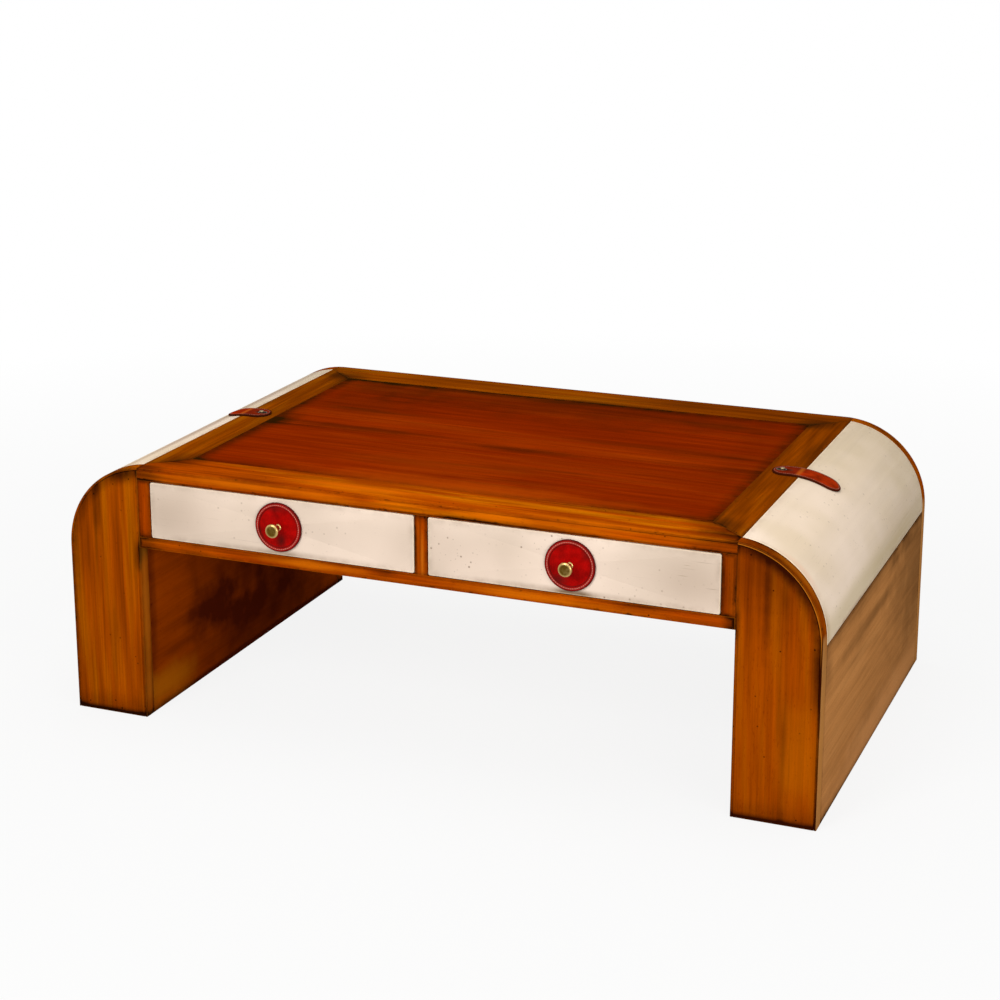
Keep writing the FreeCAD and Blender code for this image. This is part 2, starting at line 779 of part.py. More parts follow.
def build_apron():
    """The drawers' surround, and what carries and stops the drawers inside it."""
    stop = board("right_drawer_stop",
                 ("drawer_middle_x - stop_width / 2", "stop_gap - inside_y", "dust_top"),
                 ("drawer_middle_x + stop_width / 2", "stop_gap + stop_depth - inside_y",
                  "drawer_floor + stop_bite"))
    pieces = with_left([
        board("apron_right_stile", ("opening_x", "-half_depth", "opening_floor"),
              ("seam_x", "-inside_y", "top_under")),
        outer_runner(),
        board("right_inner_runner", ("half_divider", "-inside_y", "dust_top"),
              ("half_divider + runner_reach", "inside_y", "runner_top")),
    ])
    return pieces + [
        board("apron_bottom_rail", ("-seam_x", "-half_depth", "apron_bottom"),
              ("seam_x", "-inside_y", "opening_floor")),
        board("apron_divider", ("-half_divider", "-half_depth", "opening_floor"),
              ("half_divider", "-inside_y", "top_under")),
        board("back_apron", ("-seam_x", "inside_y", "apron_bottom"),
              ("seam_x", "half_depth", "top_under")),
        board("centre_partition", ("-half_divider", "-inside_y", "dust_top"),
              ("half_divider", "inside_y", "top_under")),
        board("dust_board", ("-seam_x", "-inside_y", "dust_bottom"),
              ("seam_x", "inside_y", "dust_top")),
        group("drawer_stops", stop, mirrored(stop, "left_drawer_stop", "X")),
    ]


def build_drawers():
    """Both drawers: the right one is made, and the left one is its mirror image."""
    left_inside = "drawer_left_x + drawer_side_thick"
    right_inside = "drawer_right_x - drawer_side_thick"
    housing = "drawer_side_thick / 3"
    bottom = board("right_drawer_bottom",
                   (f"{left_inside} - groove_depth", "-(inside_y + groove_depth)", "bottom_under"),
                   (f"{right_inside} + groove_depth", "drawer_back_y", "bottom_over"))
    back = board("right_drawer_back",
                 (f"{left_inside} - {housing}", "drawer_back_y - drawer_back_thick", "bottom_over"),
                 (f"{right_inside} + {housing}", "drawer_back_y",
                  "drawer_floor + drawer_side_height - drawer_back_drop"))
    inner = drawer_side("drawer_inner_side_blank", "drawer_left_x")
    outer = drawer_side("drawer_outer_side_blank", right_inside)
    return with_left([
        bottom,
        back,
        cut("right_drawer_inner_side", inner, bottom, back),
        cut("right_drawer_outer_side", outer, bottom, back),
        cut("right_drawer_front", drawer_front(), inner, outer, bottom),
        leather_disc(),
        brass_knob(),
        knob_bolt(),
    ])


def build_lids():
    """Both lids, with the plates they turn on and their straps."""
    plate, core = lid_plate(), eye_core()
    back_plate = mirrored(plate, "lid_back_plate", "Y")
    back_core = mirrored(core, "eye_back_core", "Y")
    return with_left([
        cut("right_lid", lid_shell(), plate, core, back_plate, back_core),
        group("right_lid_pivot_plates", plate, back_plate),
        leather_strap(),
    ])


def build_shared_hardware():
    """The studs and the leg boards' pivot plates, each kind in one group."""
    back = mirrored(pivot_plate, "leg_back_plate", "Y")
    return [
        group("strap_studs", stud, mirrored(stud, "left_strap_stud", "X")),
        group("leg_pivot_plates", pivot_plate, back,
              mirrored(pivot_plate, "left_leg_plate", "X"),
              mirrored(back, "left_leg_back_plate", "X")),
    ]


def check(pieces):
    """Stop if any object failed, or a piece is empty or not valid."""
    for thing in doc.Objects:
        if {"Invalid", "Error"} & set(thing.State):
            raise ValueError(f"{thing.Label} failed: {thing.State}")
    for piece in pieces:
        if piece.Shape.isNull() or not piece.Shape.isValid() or not piece.Shape.Solids:
            raise ValueError(f"{piece.Label} has no valid solid")


pivot_plate = leg_plate()
stud = strap_stud()
parts = (build_legs() + build_top() + build_apron() + build_drawers() + build_lids()
         + build_shared_hardware())
doc.recompute()
check(parts)
setback = Vector(0, number("knob_tip / 2"), 0)
os.makedirs("parts", exist_ok=True)
for part in parts:
    part.Shape.translated(setback).exportStep(os.path.join("parts", part.Label + ".step"))
print(len(parts), "pieces written")
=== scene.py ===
"""Low coffee table with quarter-round ends, two painted drawers and two painted lids.

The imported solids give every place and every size. This script gives each board, lid, drawer,
strap, disc and knob its finish, and lays stitches, eyelets and soft edges over them.
Lengths are in metres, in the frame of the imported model, or in millimetres where that is said.
"""

from __future__ import annotations

import json
import logging
import math
from collections.abc import Sequence
from dataclasses import dataclass
from enum import Enum
from functools import cached_property

import bmesh
import bpy
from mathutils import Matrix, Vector

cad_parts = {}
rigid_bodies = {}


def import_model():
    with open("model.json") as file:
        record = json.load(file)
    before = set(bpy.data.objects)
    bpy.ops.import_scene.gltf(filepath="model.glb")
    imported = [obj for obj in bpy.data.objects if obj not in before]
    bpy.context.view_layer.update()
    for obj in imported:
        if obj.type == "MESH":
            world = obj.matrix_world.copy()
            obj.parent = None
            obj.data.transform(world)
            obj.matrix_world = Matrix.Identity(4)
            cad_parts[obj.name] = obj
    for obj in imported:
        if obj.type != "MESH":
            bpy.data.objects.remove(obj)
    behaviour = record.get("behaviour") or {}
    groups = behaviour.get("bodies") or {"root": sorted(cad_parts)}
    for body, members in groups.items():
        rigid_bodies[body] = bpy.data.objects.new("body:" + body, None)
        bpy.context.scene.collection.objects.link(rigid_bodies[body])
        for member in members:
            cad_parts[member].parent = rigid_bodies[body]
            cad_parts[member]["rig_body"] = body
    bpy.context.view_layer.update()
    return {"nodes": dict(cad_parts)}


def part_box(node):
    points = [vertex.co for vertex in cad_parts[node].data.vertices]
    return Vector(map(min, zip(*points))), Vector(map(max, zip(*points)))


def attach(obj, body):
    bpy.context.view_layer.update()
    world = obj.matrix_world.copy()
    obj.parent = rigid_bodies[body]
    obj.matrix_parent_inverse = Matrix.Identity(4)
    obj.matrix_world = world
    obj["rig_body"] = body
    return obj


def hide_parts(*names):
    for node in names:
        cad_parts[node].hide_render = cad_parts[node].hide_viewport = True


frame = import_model()

LOG = logging.getLogger("coffee_table")

MM = 0.001

# Faces and corners of the right half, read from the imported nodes
LEG_LOW, LEG_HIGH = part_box("right_leg_front_board")
RAIL_LOW, RAIL_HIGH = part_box("top_right_rail")
PANEL_LOW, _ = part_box("top_panel_front_board")
STRAP_LOW, STRAP_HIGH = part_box("right_lid_strap")
SEAM_X = LEG_LOW[0]
END_X = LEG_HIGH[0]
FRONT_Y = LEG_LOW[1]
MID_Y = (STRAP_LOW[1] + STRAP_HIGH[1]) / 2
TABLE_TOP = RAIL_HIGH[2]
ARC_RADIUS = 138 * MM
ARC_X = END_X - ARC_RADIUS
ARC_Z = TABLE_TOP - ARC_RADIUS

MATH = "ShaderNodeMath"
VECTOR = "ShaderNodeVectorMath"
NOISE = "ShaderNodeTexNoise"
CELLS = "ShaderNodeTexVoronoi"
MIX = "ShaderNodeMix"
RANGE = "ShaderNodeMapRange"
SPLIT = "ShaderNodeSeparateXYZ"
SMOOTH = {"interpolation_type": "SMOOTHSTEP"}

Point = tuple[float, float, float]
Colour = tuple[float, float, float, float]
Profile = tuple[tuple[float, float], ...]
Socket = bpy.types.NodeSocket


class Axis(Enum):
    """Direction that a board's grain or its thickness runs in."""

    X = 0
    Y = 1
    Z = 2


class Side(Enum):
    """End of the table, with the sign of its x."""

    LEFT = -1
    RIGHT = 1

    @property
    def word(self) -> str:
        """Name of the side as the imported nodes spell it."""
        return self.name.lower()


class Cut(Enum):
    """Outline that a board is cut to."""

    SQUARE = "square at all its corners"
    ROUNDED = "quarter round at its outer top corner"
    LONG_MITRE = "long rail with mitred ends"
    END_MITRE = "end rail with mitred ends"
    CURVED = "bent round the table's corner"


def linear(colour: str) -> Colour:
    """Turn an sRGB hex colour into linear light.

    Args:
        colour: hex text such as "#AF5F05".

    Returns:
        Red, green, blue and a full alpha.
    """
    parts = [int(colour[i : i + 2], 16) / 255 for i in (1, 3, 5)]
    light = [c / 12.92 if c <= 0.04045 else ((c + 0.055) / 1.055) ** 2.4 for c in parts]
    return (light[0], light[1], light[2], 1.0)


class NodeBench:
    """Puts nodes into one tree, shader or geometry."""

    def __init__(self, tree: bpy.types.NodeTree) -> None:
        """Start on an empty tree."""
        self.tree = tree
        self.tree.nodes.clear()

    def add(
        self,
        kind: str,
        *values: object,
        out: int | str = 0,
        inputs: dict[int | str, object] | None = None,
        **settings: object,
    ) -> Socket | None:
        """Add one node, set it up and wire it.

        Args:
            kind: Blender's name of the node.
            *values: values or sockets for the first inputs, in order; None leaves one alone.
            out: which output to give back.
            inputs: more values or sockets, by input name or number.
            **settings: the node's own settings.

        Returns:
            The chosen output, or None for a node that has none.
        """
        node = self.tree.nodes.new(kind)
        for name, value in settings.items():
            setattr(node, name, value)
        for key, value in (dict(enumerate(values)) | (inputs or {})).items():
            if isinstance(value, bpy.types.NodeSocket):
                self.tree.links.new(value, node.inputs[key])
            elif value is not None:
                node.inputs[key].default_value = value
        return node.outputs[out] if len(node.outputs) else None


def new_material(name: str) -> tuple[bpy.types.Material, NodeBench]:
    """Start an empty node material.

    Args:
        name: the material's name.

    Returns:
        The material and a bench on its tree.
    """
    material = bpy.data.materials.new(name)
    material.use_nodes = True
    return material, NodeBench(material.node_tree)


def lay_coats(
    bench: NodeBench, ground: Socket | Colour, coats: Sequence[tuple[Socket, str]]
) -> Socket:
    """Lay coats of colour over a ground, one after another.

    Args:
        bench: the material's bench.
        ground: colour of the ground.
        coats: how strongly each coat covers, and its colour.

    Returns:
        The colour that shows.
    """
    colour = ground
    for cover, shade in coats:
        colour = bench.add(
            MIX, inputs={0: cover, 6: colour, 7: linear(shade)}, out=2, data_type="RGBA"
        )
    return colour


def thin_line(
    bench: NodeBench, away: Socket, middle: float, core: float, reach: float, strength: float
) -> Socket:
    """Draw a line that runs at one distance from something and fades on both sides.

    Args:
        bench: the material's bench.
        away: the distance of each point in metres.
        middle: the distance at which the line runs.
        core: how far from its middle it keeps its full strength.
        reach: how far from its middle it ends.
        strength: its full strength.

    Returns:
        How strongly the line shows.
    """
    offset = bench.add(MATH, away, middle, operation="SUBTRACT")
    offset = bench.add(MATH, offset, operation="ABSOLUTE")
    return bench.add(RANGE, offset, core, reach, strength, 0.0)


def close_surface(
    bench: NodeBench, relief: Socket, strength: float, depth: float, looks: dict[str, object]
) -> None:
    """End a material with its relief, its shader and its output.

    Args:
        bench: the material's bench.
        relief: height pattern of the surface.
        strength: how strongly the relief shows.
        depth: height of the relief in millimetres.
        looks: the shader's other inputs by name.
    """
    normal = bench.add(
        "ShaderNodeBump", inputs={"Strength": strength, "Distance": depth * MM, "Height": relief}
    )
    shader = bench.add("ShaderNodeBsdfPrincipled", inputs={"Normal": normal} | looks)
    bench.add("ShaderNodeOutputMaterial", shader)


def repeats(size: float) -> float:
    """Repeats per metre of a pattern whose marks are this many millimetres across."""
    return 1 / (size * MM)


def across(grain: Axis, length: float, width: float) -> Point:
    """Scale of a pattern whose marks are long in one direction.

    Args:
        grain: the direction in which the marks are long.
        length: their length in millimetres.
        width: their width in millimetres.

    Returns:
        The three scales.
    """
    scale = [repeats(width)] * 3
    scale[grain.value] = repeats(length)
    return (scale[0], scale[1], scale[2])


@dataclass(frozen=True)
class Outline:
    """Where a board's edges run, so that glaze and wear can follow them."""

    low: Vector
    high: Vector
    thick: Axis
    cut: Cut

    @property
    def mitred(self) -> bool:
        """Whether the board's ends are mitred."""
        return self.cut in (Cut.LONG_MITRE, Cut.END_MITRE)

    def mitre_distance(self, bench: NodeBench, place: Socket) -> Socket:
        """Distance from the mitre line between a long rail and an end rail.

        Args:
            bench: the material's bench.
            place: object coordinates.

        Returns:
            A socket with the distance in metres, larger into the board.
        """
        outer = Vector((SEAM_X, RAIL_HIGH[1] - MID_Y, 0))
        inner = Vector((RAIL_LOW[0], MID_Y - PANEL_LOW[1], 0))
        along = (inner - outer).normalized()
        sign = 1 if self.cut is Cut.END_MITRE else -1
        facing = Vector((-along.y, along.x, 0)) * sign
        shifted = bench.add(VECTOR, place, (0, -MID_Y, 0), operation="ADD")
        folded = bench.add(VECTOR, shifted, operation="ABSOLUTE")
        reach = bench.add(VECTOR, folded, tuple(facing), out=1, operation="DOT_PRODUCT")
        return bench.add(MATH, reach, facing.dot(outer), operation="SUBTRACT")

    def arc_distance(self, bench: NodeBench, place: Socket) -> Socket:
        """Distance inwards from the quarter round and the straight edge under it.

        Args:
            bench: the material's bench.
            place: object coordinates.

        Returns:
            A socket with the distance in metres.
        """
        folded = bench.add(VECTOR, place, operation="ABSOLUTE")
        arm = bench.add(VECTOR, folded, (ARC_X, 0, ARC_Z), operation="SUBTRACT")
        corner = bench.add(VECTOR, arm, (0, 0, 0), operation="MAXIMUM")
        plane = bench.add(VECTOR, corner, (1, 0, 1), operation="MULTIPLY")
        length = bench.add(VECTOR, plane, out=1, operation="LENGTH")
        return bench.add(MATH, ARC_RADIUS, length, operation="SUBTRACT")

    def distance(self, bench: NodeBench, place: Socket) -> Socket:
        """Distance from the nearest edge, for a point on the board's skin.

        Args:
            bench: the material's bench.
            place: object coordinates.

        Returns:
            A socket with the distance in metres.
        """
        centre, half = (self.low + self.high) / 2, (self.high - self.low) / 2
        moved = bench.add(VECTOR, place, tuple(centre), operation="SUBTRACT")
        size = bench.add(VECTOR, moved, operation="ABSOLUTE")
        inside = bench.add(VECTOR, tuple(half), size, operation="SUBTRACT")
        split = bench.add(SPLIT, inside).node
        if self.cut is Cut.CURVED:
            folded = bench.add(VECTOR, place, operation="ABSOLUTE")
            raised = bench.add(VECTOR, folded, (SEAM_X, 0, self.low.z), operation="SUBTRACT")
            parts = bench.add(SPLIT, raised).node
            profile = bench.add(MATH, parts.outputs["X"], parts.outputs["Z"], operation="MINIMUM")
            return bench.add(MATH, profile, split.outputs["Y"], operation="MINIMUM")
        flat = [split.outputs[axis.value] for axis in Axis if axis is not self.thick]
        profile = bench.add(MATH, flat[0], flat[1], operation="MINIMUM")
        if self.cut is Cut.ROUNDED:
            arc = self.arc_distance(bench, place)
            profile = bench.add(MATH, profile, arc, operation="MINIMUM")
        if self.mitred:
            slope = self.mitre_distance(bench, place)
            profile = bench.add(MATH, profile, slope, operation="MINIMUM")
        face = split.outputs[self.thick.value]
        return bench.add(MATH, profile, face, operation="MAXIMUM")


class Surface:
    """Skin of one board, on which a finish is laid."""

    pattern_step = (1.37, 0.73, 2.11)

    def __init__(self, bench: NodeBench, grain: Axis, outline: Outline, seed: float) -> None:
        """Read the places on the board.

        Args:
            bench: the material's bench.
            grain: direction of its grain or of its brush strokes.
            outline: its edges.
            seed: shifts the patterns, so that no two boards are cut from the same wood.
        """
        self.bench = bench
        self.grain = grain
        self.outline = outline
        self.shift = tuple(seed * step for step in self.pattern_step)
        self.place = bench.add("ShaderNodeTexCoord", out="Object")
        self.near = outline.distance(bench, self.place)

    @cached_property
    def moved(self) -> Socket:
        """Places, shifted to this board's own part of the patterns."""
        return self.bench.add(VECTOR, self.place, (1, 1, 1), self.shift, operation="MULTIPLY_ADD")

    @cached_property
    def height(self) -> Socket:
        """Height of each place over the floor."""
        return self.bench.add(SPLIT, self.place, out="Z")

    def marks(self, length: float, width: float, detail: float, roughness: float = 0.5) -> Socket:
        """Pattern of soft marks that are long in the direction of the grain.

        Args:
            length: their length in millimetres.
            width: their width in millimetres.
            detail: how many finer layers the pattern has.
            roughness: how strong the finer layers are.

        Returns:
            A socket that is near a half between the marks.
        """
        scale = across(self.grain, length, width)
        scaled = self.bench.add(VECTOR, self.place, scale, self.shift, operation="MULTIPLY_ADD")
        values = {"Vector": scaled, "Scale": 1.0, "Detail": detail, "Roughness": roughness}
        return self.bench.add(NOISE, inputs=values)


@dataclass(frozen=True)
class Smudge:
    """Soft patch of glaze, pale rub or tint, or of painted shade or painted highlight; in
    millimetres.
    """

    place: Point
    reach: Point
    strength: float = 0.6
    rubbed: bool = False
    tint: str = ""

    # How far a pattern pushes the patch's rim, where the patch is full and where it ends
    ragged_share = 0.7
    full_share = 0.45
    end_share = 1.35

    # How deep a patch on a flat face reaches, so that the whole face lies in its middle
    through_wall = 60
    through_top = 30

    @classmethod
    def on_front(
        cls, x: float, z: float, wide: float, high: float, strength: float, **kind: bool | str
    ) -> Smudge:
        """Make a patch on the front of the apron or a drawer.

        Args:
            x: its middle along the table.
            z: its middle over the floor.
            wide: its reach along the table.
            high: its reach upwards and downwards.
            strength: how strongly it shows.
            **kind: rubbed or tint, where it doesn't darken.

        Returns:
            The patch.
        """
        return cls((x, FRONT_Y / MM, z), (wide, cls.through_wall, high), strength, **kind)

    @classmethod
    def on_side(
        cls,
        x: float,
        y: float,
        z: float,
        deep: float,
        high: float,
        strength: float,
        **kind: bool | str,
    ) -> Smudge:
        """Make a patch on an inner or outer side of a leg.

        Args:
            x: where the side stands along the table.
            y: the patch's middle from front to back.
            z: its middle over the floor.
            deep: its reach to the front and to the back.
            high: its reach upwards and downwards.
            strength: how strongly it shows.
            **kind: rubbed or tint, where it doesn't darken.

        Returns:
            The patch.
        """
        return cls((x, y, z), (cls.through_wall, deep, high), strength, **kind)

    @classmethod
    def on_top(
        cls, x: float, y: float, wide: float, deep: float, strength: float, **kind: bool | str
    ) -> Smudge:
        """Make a patch on the table top.

        Args:
            x: its middle along the table.
            y: its middle from front to back.
            wide: its reach along the table.
            deep: its reach to the front and to the back.
            strength: how strongly it shows.
            **kind: rubbed or tint, where it doesn't darken.

        Returns:
            The patch.
        """
        return cls((x, y, TABLE_TOP / MM), (wide, deep, cls.through_top), strength, **kind)

    def amount(self, bench: NodeBench, place: Socket, ragged: Socket) -> Socket:
        """How strongly the patch shows at each point.

        Args:
            bench: the material's bench.
            place: object coordinates.
            ragged: a pattern that breaks the patch up.

        Returns:
            A socket from nought to the smudge's strength.
        """
        centre = tuple(value * MM for value in self.place)
        scale = tuple(1 / (value * MM) for value in self.reach)
        moved = bench.add(VECTOR, place, centre, operation="SUBTRACT")
        scaled = bench.add(VECTOR, moved, scale, operation="MULTIPLY")
        away = bench.add(VECTOR, scaled, out=1, operation="LENGTH")
        away = bench.add(MATH, ragged, self.ragged_share, away, operation="MULTIPLY_ADD")
        ends = (self.full_share, self.end_share)
        return bench.add(RANGE, away, *ends, self.strength, 0.0, **SMOOTH)


@dataclass(frozen=True)
class StainedWood:
    """Cherry, stained and waxed, with a dark glaze rubbed into its edges.

    The stain lies unevenly, so the eye sees long soft streaks, short pores and a few worm
    specks, and the edges are darker except at their very corner, rubbed pale and painted with
    highlight.
    """

    name: str
    light: str
    mid: str
    dark: str
    glaze: str = "#220A02"
    rubbed: str = "#C4741C"
    glaze_width: float = 7 * MM
    glaze_strength: float = 0.5
    blotch: float = 0.3
    wear: float = 0.3
    specks: float = 0.8
    figure: float = 0.06
    contrast: float = 1.0
    groove: float = 0.0
    groove_inset: float = 4.1 * MM
    arc_band: float = 0.0
    arc_band_width: float = 24 * MM
    arc_fade: float = 0.5
    bead: float = 0.0
    bead_inset: float = 2.9 * MM
    damp_height: float = 13 * MM
    damp_strength: float = 0.85
    smoke_width: float = 40 * MM
    smoke_strength: float = 0.36
    gloss: float = 0.42
    shine: float = 0.0

    def lay(self, on: Surface, smudges: Sequence[Smudge]) -> None:
        """Lay the finish on one board.

        Args:
            on: the board's surface.
            smudges: patches of glaze, rub and tint, and of painted shade and painted highlight.
        """
        bench = on.bench
        ground, streak, fibre = self.stain(on)
        ragged = bench.add(
            NOISE,
            inputs={"Vector": on.moved, "Scale": repeats(16), "Detail": 4.0, "Roughness": 0.65},
        )
        dark, dents = self.glazing(on, ragged)
        rubbed_and_lit = self.rubbing(on, ragged)
        cloud = bench.add(NOISE, inputs={"Vector": on.moved, "Scale": repeats(45), "Detail": 3.0})
        tints = []
        for smudge in smudges:
            patch = smudge.amount(bench, on.place, cloud)
            if smudge.tint:
                tints.append((patch, smudge.tint))
            elif smudge.rubbed:
                rubbed_and_lit = bench.add(MATH, rubbed_and_lit, patch, operation="MAXIMUM")
            else:
                dark = bench.add(MATH, dark, patch, operation="ADD", use_clamp=True)
        # The glaze colour lays both glaze and painted shade; the rubbed colour lays both pale rubs
        # and painted highlights
        colour = lay_coats(bench, ground, [(dark, self.glaze), (rubbed_and_lit, self.rubbed), *tints])
        rough = bench.add(MATH, streak, 0.16, self.gloss, operation="MULTIPLY_ADD")
        relief = bench.add(MATH, fibre, 0.22, operation="MULTIPLY")
        relief = bench.add(MATH, relief, dents, operation="SUBTRACT")
        looks = {"Base Color": colour, "Roughness": rough}
        looks |= {"IOR": 1.46, "Specular IOR Level": self.shine}
        close_surface(bench, relief, 0.55, 0.5, looks)

    def stain(self, on: Surface) -> tuple[Socket, Socket, Socket]:
        """Lay the stain: broad tone, streaks a few centimetres apart, figure and fibres.

        Args:
            on: the board's surface.

        Returns:
            The colour, the streak pattern and the fibre pattern.
        """
        bench = on.bench
        broad = on.marks(625, 125, 3.0, 0.6)
        streak = on.marks(417, 25, 4.0, 0.6)
        strand = on.marks(200, 5.88, 3.0, 0.6)
        fibre = on.marks(125, 2.38, 2.0, 0.6)
        pore = on.marks(9.1, 1.32, 1.0, 0.6)
        curved = bench.add(
            VECTOR, on.place, across(on.grain, 520, 46), on.shift, operation="MULTIPLY_ADD"
        )
        rings = bench.add(
            "ShaderNodeTexWave",
            curved,
            1.0,
            inputs={"Distortion": 7.0, "Detail": 3.0, "Detail Scale": 1.2},
            out=1,
            wave_type="BANDS",
            bands_direction="DIAGONAL",
        )
        tone = bench.add(MATH, streak, 0.4, operation="MULTIPLY")
        tone = bench.add(MATH, broad, 0.6, tone, operation="MULTIPLY_ADD")
        ring = bench.add(MATH, rings, 0.5, operation="SUBTRACT")
        tone = bench.add(MATH, ring, self.figure, tone, operation="MULTIPLY_ADD")
        tone = bench.add(MATH, tone, self.contrast, 0.5 - self.contrast / 2, operation="MULTIPLY_ADD")
        deep = bench.add(RANGE, tone, 0.34, 0.5, 1.0, 0.0)
        pale = bench.add(RANGE, tone, 0.5, 0.66, 0.0, 1.0)
        ground = linear(self.mid)
        colour = lay_coats(bench, ground, [(deep, self.dark), (pale, self.light)])
        fine = bench.add(MATH, fibre, 0.4, operation="MULTIPLY")
        fine = bench.add(MATH, strand, 0.6, fine, operation="MULTIPLY_ADD")
        depth = 0.34 * self.contrast
        shade = bench.add(RANGE, fine, 0.36, 0.64, 1.0 - depth, 1.0 + 0.8 * depth)
        colour = bench.add(
            MIX, inputs={0: 1.0, 6: colour, 7: shade}, out=2, data_type="RGBA", blend_type="MULTIPLY"
        )
        tick = bench.add(RANGE, pore, 0.64, 0.74, 0.0, 0.6)
        return lay_coats(bench, colour, [(tick, self.dark)]), streak, fibre

    def rubbing(self, on: Surface, ragged: Socket) -> Socket:
        """Rub the corners pale, partly as painted highlight; on some boards paint a bead highlight.

        Args:
            on: the board's surface.
            ragged: a pattern that breaks the wear and the painted highlight up.

        Returns:
            How far the wood is rubbed pale and painted with highlight.
        """
        bench = on.bench
        corner = bench.add(RANGE, on.near, 0.2 * MM, 1.5 * MM, 1.0, 0.0)
        broken = bench.add(RANGE, ragged, 0.38, 0.58, 0.3 * self.wear, self.wear)
        rubbed_and_lit = bench.add(MATH, corner, broken, operation="MULTIPLY")
        # Painted highlight on the bead that runs beside the groove
        if not self.bead:
            return rubbed_and_lit
        line = self.arc_line(on, self.bead_inset, 1.1 * MM, self.bead)
        upper = bench.add(RANGE, on.height, 240 * MM, 290 * MM, 0.0, 1.0)
        line = bench.add(MATH, line, upper, operation="MULTIPLY")
        return bench.add(MATH, rubbed_and_lit, line, operation="MAXIMUM")

    def arc_line(self, on: Surface, inset: float, half: float, strength: float) -> Socket:
        """Thin line that follows the quarter round.

        Args:
            on: the board's surface.
            inset: how far inside the quarter round it runs.
            half: distance from its middle at which it ends.
            strength: how strong it is in its middle.

        Returns:
            How strongly the line shows.
        """
        arc = on.outline.arc_distance(on.bench, on.place)
        return thin_line(on.bench, arc, inset, 0.4 * MM, half, strength)

    def glazing(self, on: Surface, ragged: Socket) -> tuple[Socket, Socket]:
        """Rub dark glaze into edges, blotches, dents and worm specks.

        Args:
            on: the board's surface.
            ragged: a pattern that breaks the glaze up.

        Returns:
            How dark the glaze is and how deep the dents are.
        """
        bench = on.bench
        edge = bench.add(RANGE, on.near, 0.0, self.glaze_width, 1.0, 0.0, **SMOOTH)
        least, most = 0.5 * self.glaze_strength, 1.4 * self.glaze_strength
        strength = bench.add(RANGE, ragged, 0.3, 0.7, least, most)
        dark = bench.add(MATH, edge, strength, operation="MULTIPLY")
        cloud = on.marks(330, 38, 2.5)
        blotch = bench.add(RANGE, cloud, 0.52, 0.78, 0.0, self.blotch, **SMOOTH)
        # Darker along the foot of each board, over its lowest few millimetres
        foot_dark = bench.add(RANGE, on.height, 0.0, self.damp_height, self.damp_strength, 0.0, **SMOOTH)
        for shade in (blotch, *self.arc_shades(on, ragged), foot_dark):
            dark = bench.add(MATH, dark, shade, operation="ADD")
        if on.outline.mitred:
            slope = on.outline.mitre_distance(bench, on.place)
            darker_areas = bench.add(RANGE, slope, 0.0, self.smoke_width, self.smoke_strength, 0.0, **SMOOTH)
            puff = bench.add(RANGE, cloud, 0.35, 0.7, 0.1, 1.2)
            dark = bench.add(MATH, darker_areas, puff, dark, operation="MULTIPLY_ADD")
        dents = self.dents(on)
        return bench.add(MATH, dark, dents, operation="ADD", use_clamp=True), dents

    def arc_shades(self, on: Surface, ragged: Socket) -> list[Socket]:
        """Glaze along the quarter round: a thin groove and a broad band inside it.

        Args:
            on: the board's surface.
            ragged: a pattern that breaks the glaze up.

        Returns:
            How dark each of them is.
        """
        bench, shades = on.bench, []
        upper = bench.add(RANGE, on.height, 235 * MM, 300 * MM, 0.0, 1.0)
        if self.groove:
            line = self.arc_line(on, self.groove_inset, 1.2 * MM, self.groove)
            broken = bench.add(RANGE, ragged, 0.36, 0.55, 0.4, 1.0)
            line = bench.add(MATH, line, broken, operation="MULTIPLY")
            shades.append(bench.add(MATH, line, upper, operation="MULTIPLY"))
        if self.arc_band:
            arc = on.outline.arc_distance(bench, on.place)
            inside = bench.add(RANGE, arc, 3.8 * MM, 4.6 * MM, 0.0, 1.0)
            lower = bench.add(MATH, 1.0, upper, operation="SUBTRACT")
            inside = bench.add(MATH, inside, lower, operation="MAXIMUM")
            fade = bench.add(RANGE, on.height, 150 * MM, 280 * MM, self.arc_fade, 1.0)
            broken = bench.add(RANGE, ragged, 0.3, 0.7, 0.8, 1.15)
            band = bench.add(RANGE, arc, 5 * MM, self.arc_band_width, self.arc_band, 0.0, **SMOOTH)
            for part in (inside, fade, broken):
                band = bench.add(MATH, band, part, operation="MULTIPLY")
            shades.append(band)
        return shades

    def dents(self, on: Surface) -> Socket:
        """Worm specks all over, and small knocks near the edges.

        Args:
            on: the board's surface.

        Returns:
            How deep each point is.
        """
        bench = on.bench
        cell = bench.add(CELLS, inputs={"Vector": on.moved, "Scale": repeats(15.6)})
        hole = bench.add(RANGE, cell, 0.04, 0.1, 1.0, 0.0)
        lot = bench.add(SPLIT, cell.node.outputs["Color"])
        chosen = bench.add(MATH, lot, 0.48, operation="GREATER_THAN")
        hole = bench.add(MATH, hole, chosen, operation="MULTIPLY")
        hole = bench.add(MATH, hole, self.specks, operation="MULTIPLY")
        close = bench.add(RANGE, on.near, 1.5 * MM, 8 * MM, 1.0, 0.0)
        dent = bench.add(RANGE, on.marks(10.5, 4.8, 2.0), 0.64, 0.74, 0.0, 0.45)
        dent = bench.add(MATH, dent, close, operation="MULTIPLY")
        return bench.add(MATH, hole, dent, operation="MAXIMUM")


